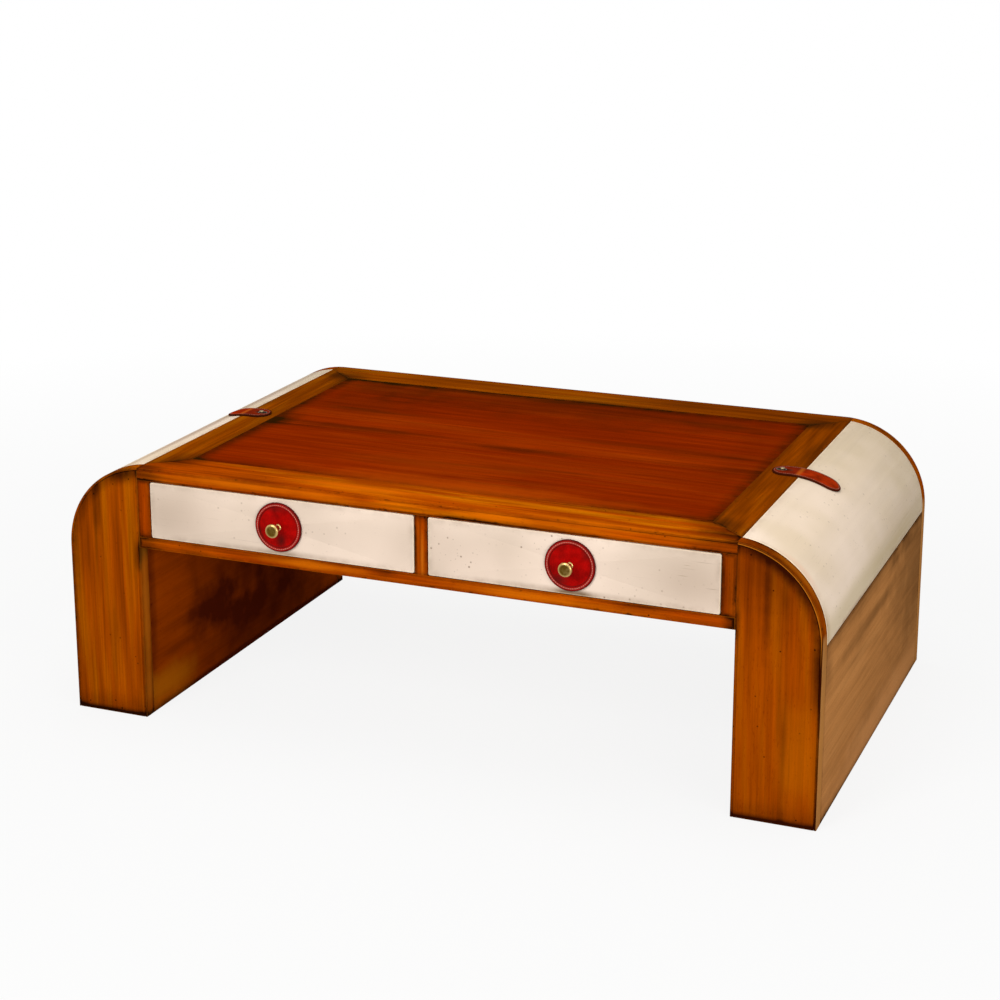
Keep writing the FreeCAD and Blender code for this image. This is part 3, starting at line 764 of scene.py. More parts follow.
@dataclass(frozen=True)
class BarePoplar:
    """Planed softwood left bare inside the carcase and the drawers.

    Bare planed wood scatters light evenly, so it is pale and dull, with a faint grain.
    """

    name: str = "bare_poplar"
    light: str = "#DCC193"
    dark: str = "#B58D5A"
    grime: str = "#7A5A34"
    grime_width: float = 4 * MM

    def lay(self, on: Surface, smudges: Sequence[Smudge]) -> None:
        """Lay the finish on one board.

        Args:
            on: the board's surface.
            smudges: not used; bare wood has no patches. smudges: patches shaded by
                hand, of which bare wood has none.
        """
        bench = on.bench
        growth = on.marks(550, 30, 5.0, 0.6)
        fibre = on.marks(83, 1.7, 2.0)
        tone = bench.add(MATH, fibre, 0.25, operation="MULTIPLY")
        tone = bench.add(MATH, growth, 0.75, tone, operation="MULTIPLY_ADD")
        pale = bench.add(RANGE, tone, 0.34, 0.62, 0.0, 1.0)
        dirt = bench.add(RANGE, on.near, 0.0, self.grime_width, 0.35, 0.0)
        colour = lay_coats(bench, linear(self.dark), [(pale, self.light), (dirt, self.grime)])
        looks = {"Base Color": colour, "Roughness": 0.62, "IOR": 1.46, "Specular IOR Level": 0.3}
        close_surface(bench, fibre, 0.4, 0.3, looks)


@dataclass(frozen=True)
class MilkPaint:
    """Cream paint brushed on, then distressed and waxed.

    Brushed paint shows faint strokes, pin specks and hair scratches, and its edges are rubbed
    white, partly as painted highlight, beside a line of brown wax.
    """

    name: str
    cream: str = "#E6D1BF"
    shade: str = "#CAB7A4"
    wax: str = "#86624A"
    speck: str = "#86705E"
    edge: str = "#F3DDBA"
    smudge: float = 0.25
    wax_width: float = 13 * MM
    lip: float = 0.25
    pitted: float = 1.0
    back_shade: float = 0.0

    def lay(self, on: Surface, smudges: Sequence[Smudge]) -> None:
        """Lay the finish on one painted piece.

        Args:
            on: the piece's surface.
            smudges: patches of wax, and on the lids of painted shade.
        """
        bench = on.bench
        cloud = bench.add(
            NOISE,
            inputs={"Vector": on.moved, "Scale": repeats(166.7), "Detail": 2.0, "Roughness": 0.45},
        )
        ragged = bench.add(
            NOISE,
            inputs={"Vector": on.moved, "Scale": repeats(18), "Detail": 4.0, "Roughness": 0.6},
        )
        tone = bench.add(RANGE, cloud, 0.3, 0.72, 0.0, 1.0, **SMOOTH)
        # Painted shade: on the lids the tone deepens towards the back, and near the front it is
        # lifted
        depth = bench.add(SPLIT, on.place, out="Y")
        back = bench.add(RANGE, depth, -250 * MM, 350 * MM, -0.25, self.back_shade)
        tone = bench.add(MATH, tone, back, operation="ADD", use_clamp=True)
        band = bench.add(RANGE, on.near, 0.0, self.wax_width, 1.0, 0.0, **SMOOTH)
        wax = bench.add(RANGE, ragged, 0.36, 0.7, 0.0, self.smudge)
        wax = bench.add(MATH, wax, band, operation="MULTIPLY")
        tints = []
        # Plain patches darken with the wax colour; on the lids they are painted shade
        for smudge in smudges:
            patch = smudge.amount(bench, on.place, cloud)
            if smudge.tint:
                tints.append((patch, smudge.tint))
            else:
                wax = bench.add(MATH, wax, patch, operation="ADD", use_clamp=True)
        marks = bench.add(MATH, self.scratches(on, cloud), self.pins(on), operation="MAXIMUM")
        # Pale lip along the edges: worn paint, and on the lids also a painted highlight
        lip = bench.add(RANGE, on.near, 0.6 * MM, 2.4 * MM, self.lip, 0.0)
        coats = [(tone, self.shade), *tints, (wax, self.wax), (marks, self.speck), (lip, self.edge)]
        colour = lay_coats(bench, linear(self.cream), coats)
        stroke = on.marks(110, 2.4, 3.0)
        relief = bench.add(MATH, stroke, 0.25, operation="MULTIPLY")
        relief = bench.add(MATH, relief, marks, operation="SUBTRACT")
        rough = bench.add(RANGE, stroke, 0.3, 0.7, 0.42, 0.56)
        looks = {"Base Color": colour, "Roughness": rough, "IOR": 1.47, "Specular IOR Level": 0.03}
        close_surface(bench, relief, 0.4, 0.3, looks)

    def scratches(self, on: Surface, cloud: Socket) -> Socket:
        """Hair scratches, in groups.

        Args:
            on: the piece's surface.
            cloud: a broad pattern that chooses the groups.

        Returns:
            How strongly each point is marked.
        """
        hair = on.bench.add(RANGE, on.marks(71, 1.05, 1.0), 0.7, 0.76, 0.0, 0.25)
        group = on.bench.add(RANGE, cloud, 0.5, 0.62, 0.0, 1.0)
        return on.bench.add(MATH, hair, group, operation="MULTIPLY")

    def pins(self, on: Surface) -> Socket:
        """Specks about a millimetre across, in loose clusters, with finer ones between them.

        Args:
            on: the piece's surface.

        Returns:
            How strongly each point is marked.
        """
        bench = on.bench
        kinds = []
        for size, inner, outer, share, depth in (
            (12.5, 0.06, 0.16, 0.3, 0.9),
            (5.9, 0.06, 0.18, 0.5, 0.5),
        ):
            cell = bench.add(CELLS, inputs={"Vector": on.moved, "Scale": repeats(size)})
            dot = bench.add(RANGE, cell, inner, outer, depth, 0.0)
            lot = bench.add(SPLIT, cell.node.outputs["Color"])
            chosen = bench.add(MATH, lot, share, operation="GREATER_THAN")
            kinds.append(bench.add(MATH, dot, chosen, operation="MULTIPLY"))
        marks = bench.add(MATH, *kinds, operation="MAXIMUM")
        crowd = bench.add(NOISE, inputs={"Vector": on.moved, "Scale": repeats(77), "Detail": 1.0})
        crowd = bench.add(RANGE, crowd, 0.42, 0.6, 0.15 * self.pitted, self.pitted)
        return bench.add(MATH, marks, crowd, operation="MULTIPLY")


@dataclass(frozen=True)
class Leather:
    """Vegetable-tanned hide, dyed, its cut edge burnished dark.

    The dye pools in a fine pebble grain, and the burnished rim is darker and a little shinier.
    """

    name: str
    dye: str
    deep: str
    rim: str
    pale: str
    rim_width: float
    pale_centre: float
    pale_width: float
    crease_depth: float
    crease_centre: float = 6.9 * MM
    pebble: float = 1.1
    shine: float = 0.03
    bend_wear: float = 0.0
    bend_dark: str = "#4A140A"
    bend_pale: str = "#B8661E"

    def material(self, smudges: Sequence[Smudge] = ()) -> bpy.types.Material:
        """Make the finish, which reads each point's distance from the cut edge.

        Args:
            smudges: dark patches, among them the painted shadow that each knob casts below it.

        Returns:
            The material.
        """
        material, bench = new_material(self.name)
        place = bench.add("ShaderNodeTexCoord", out="Object")
        near = bench.add("ShaderNodeAttribute", out="Fac", attribute_name="edge")
        cloud = bench.add(
            NOISE, inputs={"Vector": place, "Scale": repeats(18), "Detail": 4.0, "Roughness": 0.6}
        )
        tone = bench.add(RANGE, cloud, 0.36, 0.66, 0.0, 1.0)
        cell = bench.add(CELLS, inputs={"Vector": place, "Scale": repeats(self.pebble)})
        grain = bench.add(RANGE, cell, 0.35, 0.75, 0.0, 0.35)
        coats = [(tone, self.deep), (grain, self.deep)]
        # Dark patches in the rim's colour, among them the painted shadow of the knob
        coats += [(smudge.amount(bench, place, cloud), self.rim) for smudge in smudges]
        core = 0.4 * self.pale_width
        ring = thin_line(bench, near, self.pale_centre, core, self.pale_width, 0.75)
        # Dark line at the foot of the raised rim: on the disc painted shade at the step down to the
        # field, on the strap a creased line
        crease_and_shade = thin_line(bench, near, self.crease_centre, 0.2 * MM, 1.1 * MM, self.crease_depth)
        coats += [(ring, self.pale), (crease_and_shade, self.rim)]
        if self.bend_wear:
            coats += self.bend_coats(bench, place)
        burnt = bench.add(RANGE, near, 0.3 * MM, self.rim_width, 0.95, 0.0, **SMOOTH)
        colour = lay_coats(bench, linear(self.dye), [*coats, (burnt, self.rim)])
        rough = bench.add(RANGE, cell, 0.2, 0.8, 0.38, 0.55)
        relief = bench.add(MATH, 1.0, cell, operation="SUBTRACT")
        looks = {"Base Color": colour, "Roughness": rough, "IOR": 1.5}
        looks["Specular IOR Level"] = self.shine
        close_surface(bench, relief, 0.35, 0.15, looks)
        return material

    def bend_coats(self, bench: NodeBench, place: Socket) -> list[tuple[Socket, str]]:
        """Wear a strap where it crosses the seam: darker before it and pale on it.

        Args:
            bench: the material's bench.
            place: object coordinates.

        Returns:
            How strongly each coat covers, and its colour.
        """
        folded = bench.add(VECTOR, place, operation="ABSOLUTE")
        width = bench.add(SPLIT, folded, out="X")
        inner = bench.add(RANGE, width, SEAM_X - 7 * MM, SEAM_X + 1 * MM, 0.55, 0.0)
        worn = thin_line(bench, width, SEAM_X - 1 * MM, 1 * MM, 5 * MM, self.bend_wear)
        return [(inner, self.bend_dark), (worn, self.bend_pale)]


@dataclass(frozen=True)
class Thread:
    """Waxed linen thread. Its fibres are too fine to show, so a soft mottle stands for them."""

    name: str
    colour: str
    shade: str

    def material(self) -> bpy.types.Material:
        """Make the finish.

        Returns:
            The material.
        """
        material, bench = new_material(self.name)
        place = bench.add("ShaderNodeTexCoord", out="Object")
        twist = bench.add(NOISE, inputs={"Vector": place, "Scale": repeats(0.7), "Detail": 2.0})
        lit = bench.add(RANGE, twist, 0.35, 0.62, 0.0, 1.0)
        colour = lay_coats(bench, linear(self.shade), [(lit, self.colour)])
        looks = {"Base Color": colour, "Roughness": 0.6, "IOR": 1.5, "Specular IOR Level": 0.3}
        shader = bench.add("ShaderNodeBsdfPrincipled", inputs=looks)
        bench.add("ShaderNodeOutputMaterial", shader)
        return material


@dataclass(frozen=True)
class CastMetal:
    """Turned or stamped metal with a hand-rubbed patina.

    The polish survives on the high spots and the hollows go brown, so its shine is uneven.
    """

    name: str
    bright: str
    patina: str
    low_rough: float = 0.22
    high_rough: float = 0.42
    grit: float = 3.85
    patina_share: float = 0.225
    mottle: float = 0.75
    hollow: float = 0.75
    hollow_width: float = 4.4 * MM

    def material(self) -> bpy.types.Material:
        """Make the finish.

        Returns:
            The material.
        """
        material, bench = new_material(self.name)
        place = bench.add("ShaderNodeTexCoord", out="Object")
        cloud = bench.add(
            NOISE,
            inputs={"Vector": place, "Scale": repeats(self.grit), "Detail": 5.0, "Roughness": 0.62},
        )
        least = self.patina_share - self.mottle / 2
        tone = bench.add(RANGE, cloud, 0.36, 0.66, least, least + self.mottle)
        near = bench.add("ShaderNodeAttribute", out="Fac", attribute_name="edge")
        deep = bench.add(RANGE, near, 0.2 * MM, self.hollow_width, 0.0, self.hollow, **SMOOTH)
        tone = bench.add(MATH, tone, deep, operation="ADD", use_clamp=True)
        colour = lay_coats(bench, linear(self.bright), [(tone, self.patina)])
        rough = bench.add(RANGE, cloud, 0.35, 0.7, self.low_rough, self.high_rough)
        turned = bench.add(VECTOR, place, across(Axis.Z, 7, 1.1), operation="MULTIPLY")
        scratch = bench.add(NOISE, inputs={"Vector": turned, "Scale": 1.0, "Detail": 2.0})
        looks = {"Base Color": colour, "Roughness": rough, "Metallic": 1.0}
        close_surface(bench, scratch, 0.12, 0.1, looks)
        return material


class Finishes:
    """Every finish on the table."""

    # Left leg: warm and streaky, with a thin groove of glaze along the quarter round
    honey = StainedWood(
        "honey_cherry",
        "#AC5C00",
        "#964000",
        "#782C00",
        glaze_width=6 * MM,
        glaze_strength=0.45,
        contrast=0.8,
        groove=0.4,
        arc_band=0.5,
        arc_fade=0.6,
    )
    # Right leg: redder and smokier, with a painted highlight on the bead outside a darker groove
    red_honey = StainedWood(
        "red_honey_cherry",
        "#AC5C00",
        "#964000",
        "#762800",
        glaze="#2E0C02",
        glaze_width=6 * MM,
        glaze_strength=0.42,
        contrast=0.6,
        blotch=0.42,
        wear=0.2,
        groove=0.6,
        arc_band=0.6,
        arc_fade=0.3,
        bead=0.6,
    )
    # Rail under the drawers: the brightest wood, with orange corners
    apron = StainedWood("apron_cherry", "#C86C02", "#AE4A00", "#842A00", rubbed="#CE6A06")
    # Stiles and divider: shaded red beside the pale drawers
    stile = StainedWood("shaded_cherry", "#AC4C02", "#963800", "#6C2000", wear=0.05)
    # Front rail of the top: strong streaks, with orange patches of painted sheen
    front_rail = StainedWood(
        "rail_cherry",
        "#CE7402",
        "#A84400",
        "#7A2800",
        rubbed="#D86A04",
        glaze_strength=0.3,
        blotch=0.4,
        wear=0.15,
    )
    # End rails, back rail and back apron: olive brown and cloudy
    end_rail = StainedWood(
        "olive_cherry",
        "#985202",
        "#823A00",
        "#602600",
        glaze="#261204",
        glaze_strength=0.3,
        blotch=0.4,
        wear=0.1,
        contrast=0.85,
    )
    # Panel of the top: deep red, darkening slowly towards its frame
    panel = StainedWood(
        "red_cherry",
        "#923402",
        "#7E2200",
        "#641600",
        glaze="#2A1402",
        rubbed="#B64C04",
        glaze_width=26 * MM,
        glaze_strength=0.5,
        blotch=0.42,
        wear=0.0,
        specks=0.3,
        contrast=0.62,
    )
    # Inner sides of the legs: dark and nearly even; their glaze colour also paints the shade under
    # the table
    inner_panel = StainedWood(
        "dark_cherry",
        "#A84A02",
        "#8E3800",
        "#702400",
        glaze="#4A1605",
        glaze_width=14 * MM,
        glaze_strength=0.4,
        blotch=0.2,
        wear=0.0,
        specks=0.3,
        contrast=0.35,
    )
    # Outer sides of the legs: a pale dusty brown
    outer_panel = StainedWood(
        "brown_cherry",
        "#C08850",
        "#AC7440",
        "#8A5A30",
        glaze="#301808",
        rubbed="#D8985E",
        glaze_width=8 * MM,
        glaze_strength=0.25,
        blotch=0.25,
        wear=0.05,
        specks=0.5,
        contrast=0.34,
    )
    poplar = BarePoplar()
    drawer_paint = MilkPaint("cream_milk_paint", wax="#7E6650", lip=0.4)
    smooth_drawer_paint = MilkPaint("smooth_milk_paint", wax="#7E6650", lip=0.4, pitted=0.45)
    # Lids: yellower and darker towards the back in painted shade, with a white lip, worn and partly
    # painted highlight
    lid_paint = MilkPaint(
        "aged_milk_paint", "#E4D0BC", "#CFBB9E", smudge=0.35, lip=0.85, pitted=0.6, back_shade=0.8
    )


def add_object(label: str, mesh: bpy.types.Mesh) -> bpy.types.Object:
    """Put a mesh into the scene at the origin.

    Args:
        label: name of the object.
        mesh: its mesh.

    Returns:
        The object.
    """
    thing = bpy.data.objects.new(label, mesh)
    bpy.context.scene.collection.objects.link(thing)
    return thing


def smooth_piece(label: str, work: bmesh.types.BMesh) -> bpy.types.Object:
    """Turn a shape from the workbench into a smooth piece.

    Args:
        label: name of the piece.
        work: the shape, which is freed.

    Returns:
        The piece.
    """
    for face in work.faces:
        face.smooth = True
        face.material_index = 0
    mesh = bpy.data.meshes.new(label)
    work.to_mesh(mesh)
    work.free()
    return add_object(label, mesh)


def merged_copy(node: str, label: str) -> bpy.types.Object:
    """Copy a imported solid's skin as one clean shell.

    Args:
        node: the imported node.
        label: name of the new piece.

    Returns:
        The new object, with flat faces whole again.
    """
    work = bmesh.new()
    work.from_mesh(frame["nodes"][node].data)
    bmesh.ops.remove_doubles(work, verts=work.verts, dist=0.005 * MM)
    flat = math.radians(0.4)
    bmesh.ops.dissolve_limit(work, angle_limit=flat, verts=work.verts, edges=work.edges)
    return smooth_piece(label, work)


def ring_skin(
    label: str, rings: Sequence[Sequence[Vector]], reaches: Sequence[float], closed: bool
) -> bpy.types.Object:
    """Stretch a skin over rings of points.

    Args:
        label: name of the piece.
        rings: the rings in order, where a ring of one point is a pole.
        reaches: each ring's distance from the cut edge, for the "edge" attribute.
        closed: whether the last ring joins the first.

    Returns:
        The piece.
    """
    work = bmesh.new()
    edge = work.verts.layers.float.new("edge")
    loops = []
    for ring, reach in zip(rings, reaches):
        verts = [work.verts.new(spot) for spot in ring]
        for vert in verts:
            vert[edge] = reach
        loops.append(verts)
    count = max(len(verts) for verts in loops)
    if closed:
        loops.append(loops[0])
    for lower, upper in zip(loops, loops[1:]):
        for step in range(count):
            after = (step + 1) % count
            corners = [lower[step % len(lower)], lower[after % len(lower)]]
            corners += [upper[after % len(upper)], upper[step % len(upper)]]
            work.faces.new(list(dict.fromkeys(corners)))
    bmesh.ops.recalc_face_normals(work, faces=work.faces)
    return smooth_piece(label, work)


def lathe(
    label: str,
    profile: Profile,
    centre: Vector,
    axis: Vector,
    segments: int,
    bright_below: float = -math.inf,
) -> bpy.types.Object:
    """Turn a profile about an axis.

    Args:
        label: name of the piece.
        profile: radius and height pairs in millimetres, from one pole to the other.
        centre: the point at height nought.
        axis: direction of increasing height.
        segments: steps round the axis.
        bright_below: height in millimetres under which the "edge" attribute is nought.

    Returns:
        The piece, with an "edge" attribute that holds the distance from its widest radius.
    """
    turn = Vector((0, 0, 1)).rotation_difference(axis).to_matrix()
    widest = max(radius for radius, _ in profile)
    rings = []
    reaches = []
    for radius, height in profile:
        ring = []
        for step in range(segments if radius > 0 else 1):
            angle = math.tau * step / segments
            spot = Vector((radius * math.cos(angle), radius * math.sin(angle), height)) * MM
            ring.append(centre + turn @ spot)
        rings.append(ring)
        reaches.append((widest - radius) * MM if height > bright_below else 0.0)
    return ring_skin(label, rings, reaches, closed=False)


def round_arrises(piece: bpy.types.Object, width: float) -> None:
    """Soften a piece's arrises the way sanding does.

    Args:
        piece: the piece.
        width: how far the rounding reaches from each edge.
    """
    bevel = piece.modifiers.new("soft_arris", "BEVEL")
    bevel.width = width
    bevel.segments = 2
    bevel.limit_method = "ANGLE"
    bevel.angle_limit = math.radians(25)
    bevel.harden_normals = True


def place_piece(piece: bpy.types.Object, body: str, slot: str, *nodes: str) -> None:
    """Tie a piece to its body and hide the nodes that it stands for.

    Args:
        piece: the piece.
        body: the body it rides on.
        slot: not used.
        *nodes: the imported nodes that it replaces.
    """
    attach(piece, body)
    if nodes:
        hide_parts(*nodes)
    LOG.info("%s rides on %s", piece.name, body)


def dress_copy(
    node: str, label: str, body: str, metal: bpy.types.Material, soften: float
) -> None:
    """Dress a packed steel piece as it is, with its arrises eased.

    Args:
        node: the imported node.
        label: name of the new piece.
        body: the body it rides on.
        metal: its material.
        soften: how far its arrises are rounded.
    """
    piece = merged_copy(node, label)
    piece.data.materials.append(metal)
    round_arrises(piece, soften)
    place_piece(piece, body, "steel", node)


class Board:
    """A board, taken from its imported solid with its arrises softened."""

    made = 0
    seed_step = 3.7

    def __init__(
        self,
        node: str,
        finish: StainedWood | BarePoplar | MilkPaint,
        grain: Axis,
        thick: Axis,
        slot: str,
        cut: Cut = Cut.SQUARE,
        shared: Sequence[str] = (),
        soften: float = 0.4 * MM,
        smudges: Sequence[Smudge] = (),
    ) -> None:
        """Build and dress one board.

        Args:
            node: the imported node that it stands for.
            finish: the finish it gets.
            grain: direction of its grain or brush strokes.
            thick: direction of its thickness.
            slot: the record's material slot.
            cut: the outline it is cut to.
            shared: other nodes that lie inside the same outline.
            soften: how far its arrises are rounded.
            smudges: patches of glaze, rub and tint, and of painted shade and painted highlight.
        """
        Board.made += 1
        boxes = [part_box(name) for name in (node, *shared)]
        low = Vector([min(box[0][i] for box in boxes) for i in range(3)])
        high = Vector([max(box[1][i] for box in boxes) for i in range(3)])
        piece = merged_copy(node, f"{node}_dressed")
        material, bench = new_material(f"{finish.name}_{node}")
        outline = Outline(low, high, thick, cut)
        finish.lay(Surface(bench, grain, outline, Board.made * self.seed_step), smudges)
        piece.data.materials.append(material)
        round_arrises(piece, soften)
        place_piece(piece, frame["nodes"][node]["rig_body"], slot, node)


def bare_board(node: str, grain: Axis, thick: Axis, soften: float = 0.4 * MM) -> None:
    """Dress one of the bare boards inside.

    Args:
        node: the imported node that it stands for.
        grain: direction of its grain.
        thick: direction of its thickness.
        soften: how far its arrises are rounded.
    """
    Board(node, Finishes.poplar, grain, thick, "plain_wood", soften=soften)


class GeometryRecipe:
    """A geometry node group with named inputs, built once and used on many paths."""

    def __init__(self, name: str, inputs: Sequence[tuple[str, str, object]]) -> None:
        """Args:
            name: the group's name.
            inputs: name, socket type and default of each input after the geometry.
        """
        self.group = bpy.data.node_groups.new(name, "GeometryNodeTree")
        self.group.is_modifier = True
        face = self.group.interface
        face.new_socket(name="Geometry", in_out="INPUT", socket_type="NodeSocketGeometry")
        for label, kind, default in inputs:
            socket = face.new_socket(name=label, in_out="INPUT", socket_type=kind)
            if default is not None:
                socket.default_value = default
        face.new_socket(name="Geometry", in_out="OUTPUT", socket_type="NodeSocketGeometry")
        self.bench = NodeBench(self.group)
        self.source = self.bench.add("NodeGroupInput").node

    def apply(self, piece: bpy.types.Object, values: dict[str, object]) -> None:
        """Run the group on a piece and keep the result as its plain mesh.

        Args:
            piece: the object whose mesh is the path.
            values: input values by name.
        """
        modifier = piece.modifiers.new("recipe", "NODES")
        modifier.node_group = self.group
        for item in self.group.interface.items_tree:
            if item.item_type == "SOCKET" and item.in_out == "INPUT" and item.name in values:
                modifier[item.identifier] = values[item.name]
        bpy.context.view_layer.update()
        depsgraph = bpy.context.evaluated_depsgraph_get()
        mesh = bpy.data.meshes.new_from_object(piece.evaluated_get(depsgraph))
        piece.modifiers.clear()
        piece.data = mesh
        mesh.name = piece.name


class StitchRecipe(GeometryRecipe):
    """Lays stitches along a path, flat on the surface whose normal the path carries."""

    def __init__(self) -> None:
        """Build the group."""
        super().__init__(
            "stitch_run",
            [
                ("Pitch", "NodeSocketFloat", 3.4 * MM),
                ("Length", "NodeSocketFloat", 2.6 * MM),
                ("Thickness", "NodeSocketFloat", 0.8 * MM),
                ("Seed", "NodeSocketInt", 7),
                ("Material", "NodeSocketMaterial", None),
            ],
        )
        bench, source = self.bench, self.source.outputs
        line = bench.add("GeometryNodeMeshToCurve", source["Geometry"])
        points = bench.add(
            "GeometryNodeResampleCurve",
            inputs={"Curve": line, "Length": source["Pitch"]},
            mode="LENGTH",
        )
        half = bench.add(MATH, source["Length"], 0.5, operation="MULTIPLY")
        wide = bench.add(MATH, source["Thickness"], 0.5, operation="MULTIPLY")
        high = bench.add(MATH, source["Thickness"], 0.42, operation="MULTIPLY")
        size = bench.add("ShaderNodeCombineXYZ", half, wide, high)
        ball = bench.add("GeometryNodeMeshUVSphere", 8, 6, 1.0)
        smooth = bench.add("GeometryNodeSetShadeSmooth", ball)
        stitch = bench.add("GeometryNodeTransform", inputs={"Geometry": smooth, "Scale": size})
        facing = bench.add(
            "GeometryNodeInputNamedAttribute",
            inputs={"Name": "facing"},
            data_type="FLOAT_VECTOR",
        )
        along = bench.add("GeometryNodeInputTangent")
        turn = bench.add(
            "FunctionNodeAxesToRotation",
            facing,
            along,
            primary_axis="Z",
            secondary_axis="X",
        )
        lean = bench.add(
            "FunctionNodeRandomValue",
            inputs={0: (-0.05, -0.05, -0.16), 1: (0.05, 0.05, 0.02), "Seed": source["Seed"]},
            data_type="FLOAT_VECTOR",
        )
        turn = bench.add("FunctionNodeRotateRotation", turn, lean, rotation_space="LOCAL")
        laid = bench.add(
            "GeometryNodeInstanceOnPoints",
            inputs={"Points": points, "Instance": stitch, "Rotation": turn},
        )
        solid = bench.add("GeometryNodeRealizeInstances", laid)
        dressed = bench.add(
            "GeometryNodeSetMaterial", inputs={"Geometry": solid, "Material": source["Material"]}
        )
        bench.add("NodeGroupOutput", dressed)


def path_object(
    label: str, points: Sequence[Vector], facing: Sequence[Vector]
) -> bpy.types.Object:
    """Make a closed path that carries the surface's normal.

    Args:
        label: name of the piece that will follow it.
        points: the path's points.
        facing: the surface's normal at each point.

    Returns:
        The path as an object of edges.
    """
    count = len(points)
    mesh = bpy.data.meshes.new(label)
    mesh.from_pydata(points, [(i, (i + 1) % count) for i in range(count)], [])
    layer = mesh.attributes.new("facing", "FLOAT_VECTOR", "POINT")
    for item, normal in zip(layer.data, facing):
        item.vector = normal
    return add_object(label, mesh)


@dataclass
class TableTop:
    """Mitred frame of four rails round a panel of two boards."""

    shared: tuple[str, str] = ("top_panel_front_board", "top_panel_back_board")

    def build(self) -> None:
        """Dress the rails and the panel."""
        corners = [Smudge.on_top(x, y, 60, 50, 0.45) for x in (-430, 430) for y in (-276, 300)]
        soft = 0.15 * MM
        front = [
            # Painted highlight along the front arris, worn in places
            Smudge((0, -338, 410), (4000, 1.6, 1.6), 0.9, rubbed=True),
            Smudge((300, -338, 405.9), (480, 4, 1.0), 0.8),
            # Painted sheen: orange patches on the front and the top of the rail
            Smudge((-290, -337, 402), (170, 10, 10), 0.6, rubbed=True),
            Smudge((-170, -334, 402), (90, 12, 10), 0.6, rubbed=True),
            Smudge((-90, -306, 410), (170, 22, 9), 0.6, rubbed=True),
            Smudge((120, -334, 402), (90, 14, 9), 0.5, rubbed=True),
            Smudge((250, -330, 405), (130, 16, 12), 0.45, rubbed=True),
            Smudge((60, -337, 394), (70, 8, 4), 0.35),
            Smudge.on_top(300, -274, 240, 14, 0.3),
            Smudge((-455, -330, 405), (40, 22, 30), 0.45),
            Smudge((455, -325, 400), (90, 40, 40), 0.5),
            Smudge((0, -338, 391.6), (1200, 4, 3.0), 0.5),
        ]
        for node, finish, grain, cut, extra in (
            ("top_front_rail", Finishes.front_rail, Axis.X, Cut.LONG_MITRE, front),
            ("top_back_rail", Finishes.end_rail, Axis.X, Cut.LONG_MITRE, []),
            ("top_left_rail", Finishes.end_rail, Axis.Y, Cut.END_MITRE, []),
            ("top_right_rail", Finishes.end_rail, Axis.Y, Cut.END_MITRE, []),
        ):
            Board(
                node,
                finish,
                grain,
                Axis.Z,
                "cherry_wood",
                cut,
                soften=soft,
                smudges=corners + extra,
            )
        joint = [
            Smudge.on_top(-260, -8, 230, 24, 0.5),
            Smudge.on_top(30, -28, 150, 22, 0.5),
            Smudge.on_top(320, -14, 150, 24, 0.2),
            Smudge.on_top(-396, 0, 34, 60, 0.5),
            Smudge.on_top(0, 265, 560, 150, 0.42),
            Smudge.on_top(-330, 250, 160, 90, 0.35),
            Smudge.on_top(-320, 130, 150, 120, 0.25),
            Smudge.on_top(380, 60, 60, 260, 0.15),
            Smudge.on_top(30, -250, 360, 60, 0.36, rubbed=True),
            Smudge.on_top(-60, -150, 240, 70, 0.14, rubbed=True),
            Smudge.on_top(-415, -60, 36, 320, 0.3),
        ]
        for node in self.shared:
            Board(
                node,
                Finishes.panel,
                Axis.X,
                Axis.Z,
                "dark_wood",
                shared=self.shared,
                soften=soft,
                smudges=corners + joint,
            )


@dataclass
class Apron:
    """Rail, stiles and divider round the drawers, with the back and the boards inside."""

    def build(self) -> None:
        """Dress the apron and the inside."""
        rail = [
            Smudge.on_front(-475, 290, 60, 60, 0.55),
            Smudge.on_front(475, 290, 26, 60, 0.75),
            Smudge.on_front(345, 296, 60, 12, 0.35),
            Smudge.on_front(-60, 294, 34, 10, 0.4),
            Smudge.on_front(-380, 288, 40, 12, 0.2),
            # Rubbed orange along the middle of the rail, partly a painted highlight
            Smudge.on_front(-180, 291, 120, 9, 0.6, rubbed=True),
            Smudge.on_front(160, 289, 170, 9, 0.45, rubbed=True),
        ]
        Board("apron_bottom_rail", Finishes.apron, Axis.X, Axis.Y, "honey_wood", smudges=rail)
        divider = [
            Smudge.on_front(0, 396, 30, 26, 0.5),
            Smudge.on_front(-8, 345, 4, 90, 0.35),
            Smudge.on_front(2, 330, 4, 50, 0.3, rubbed=True),
        ]
        Board("apron_divider", Finishes.stile, Axis.Z, Axis.Y, "honey_wood", smudges=divider)
        stiles = [
            Smudge.on_front(-465, 396, 30, 16, 0.4),
            Smudge.on_front(-465, 294, 30, 18, 0.45),
            Smudge.on_front(465, 345, 40, 90, 0.42),
            Smudge.on_front(465, 294, 40, 18, 0.4),
        ]
        Board("apron_left_stile", Finishes.stile, Axis.Z, Axis.Y, "honey_wood", smudges=stiles)
        Board("apron_right_stile", Finishes.stile, Axis.Z, Axis.Y, "honey_wood", smudges=stiles)
        Board("back_apron", Finishes.end_rail, Axis.X, Axis.Y, "brown_wood")
        bare_board("centre_partition", Axis.Y, Axis.X)
        bare_board("dust_board", Axis.X, Axis.Z)
        bare_board("drawer_stops", Axis.X, Axis.Z)


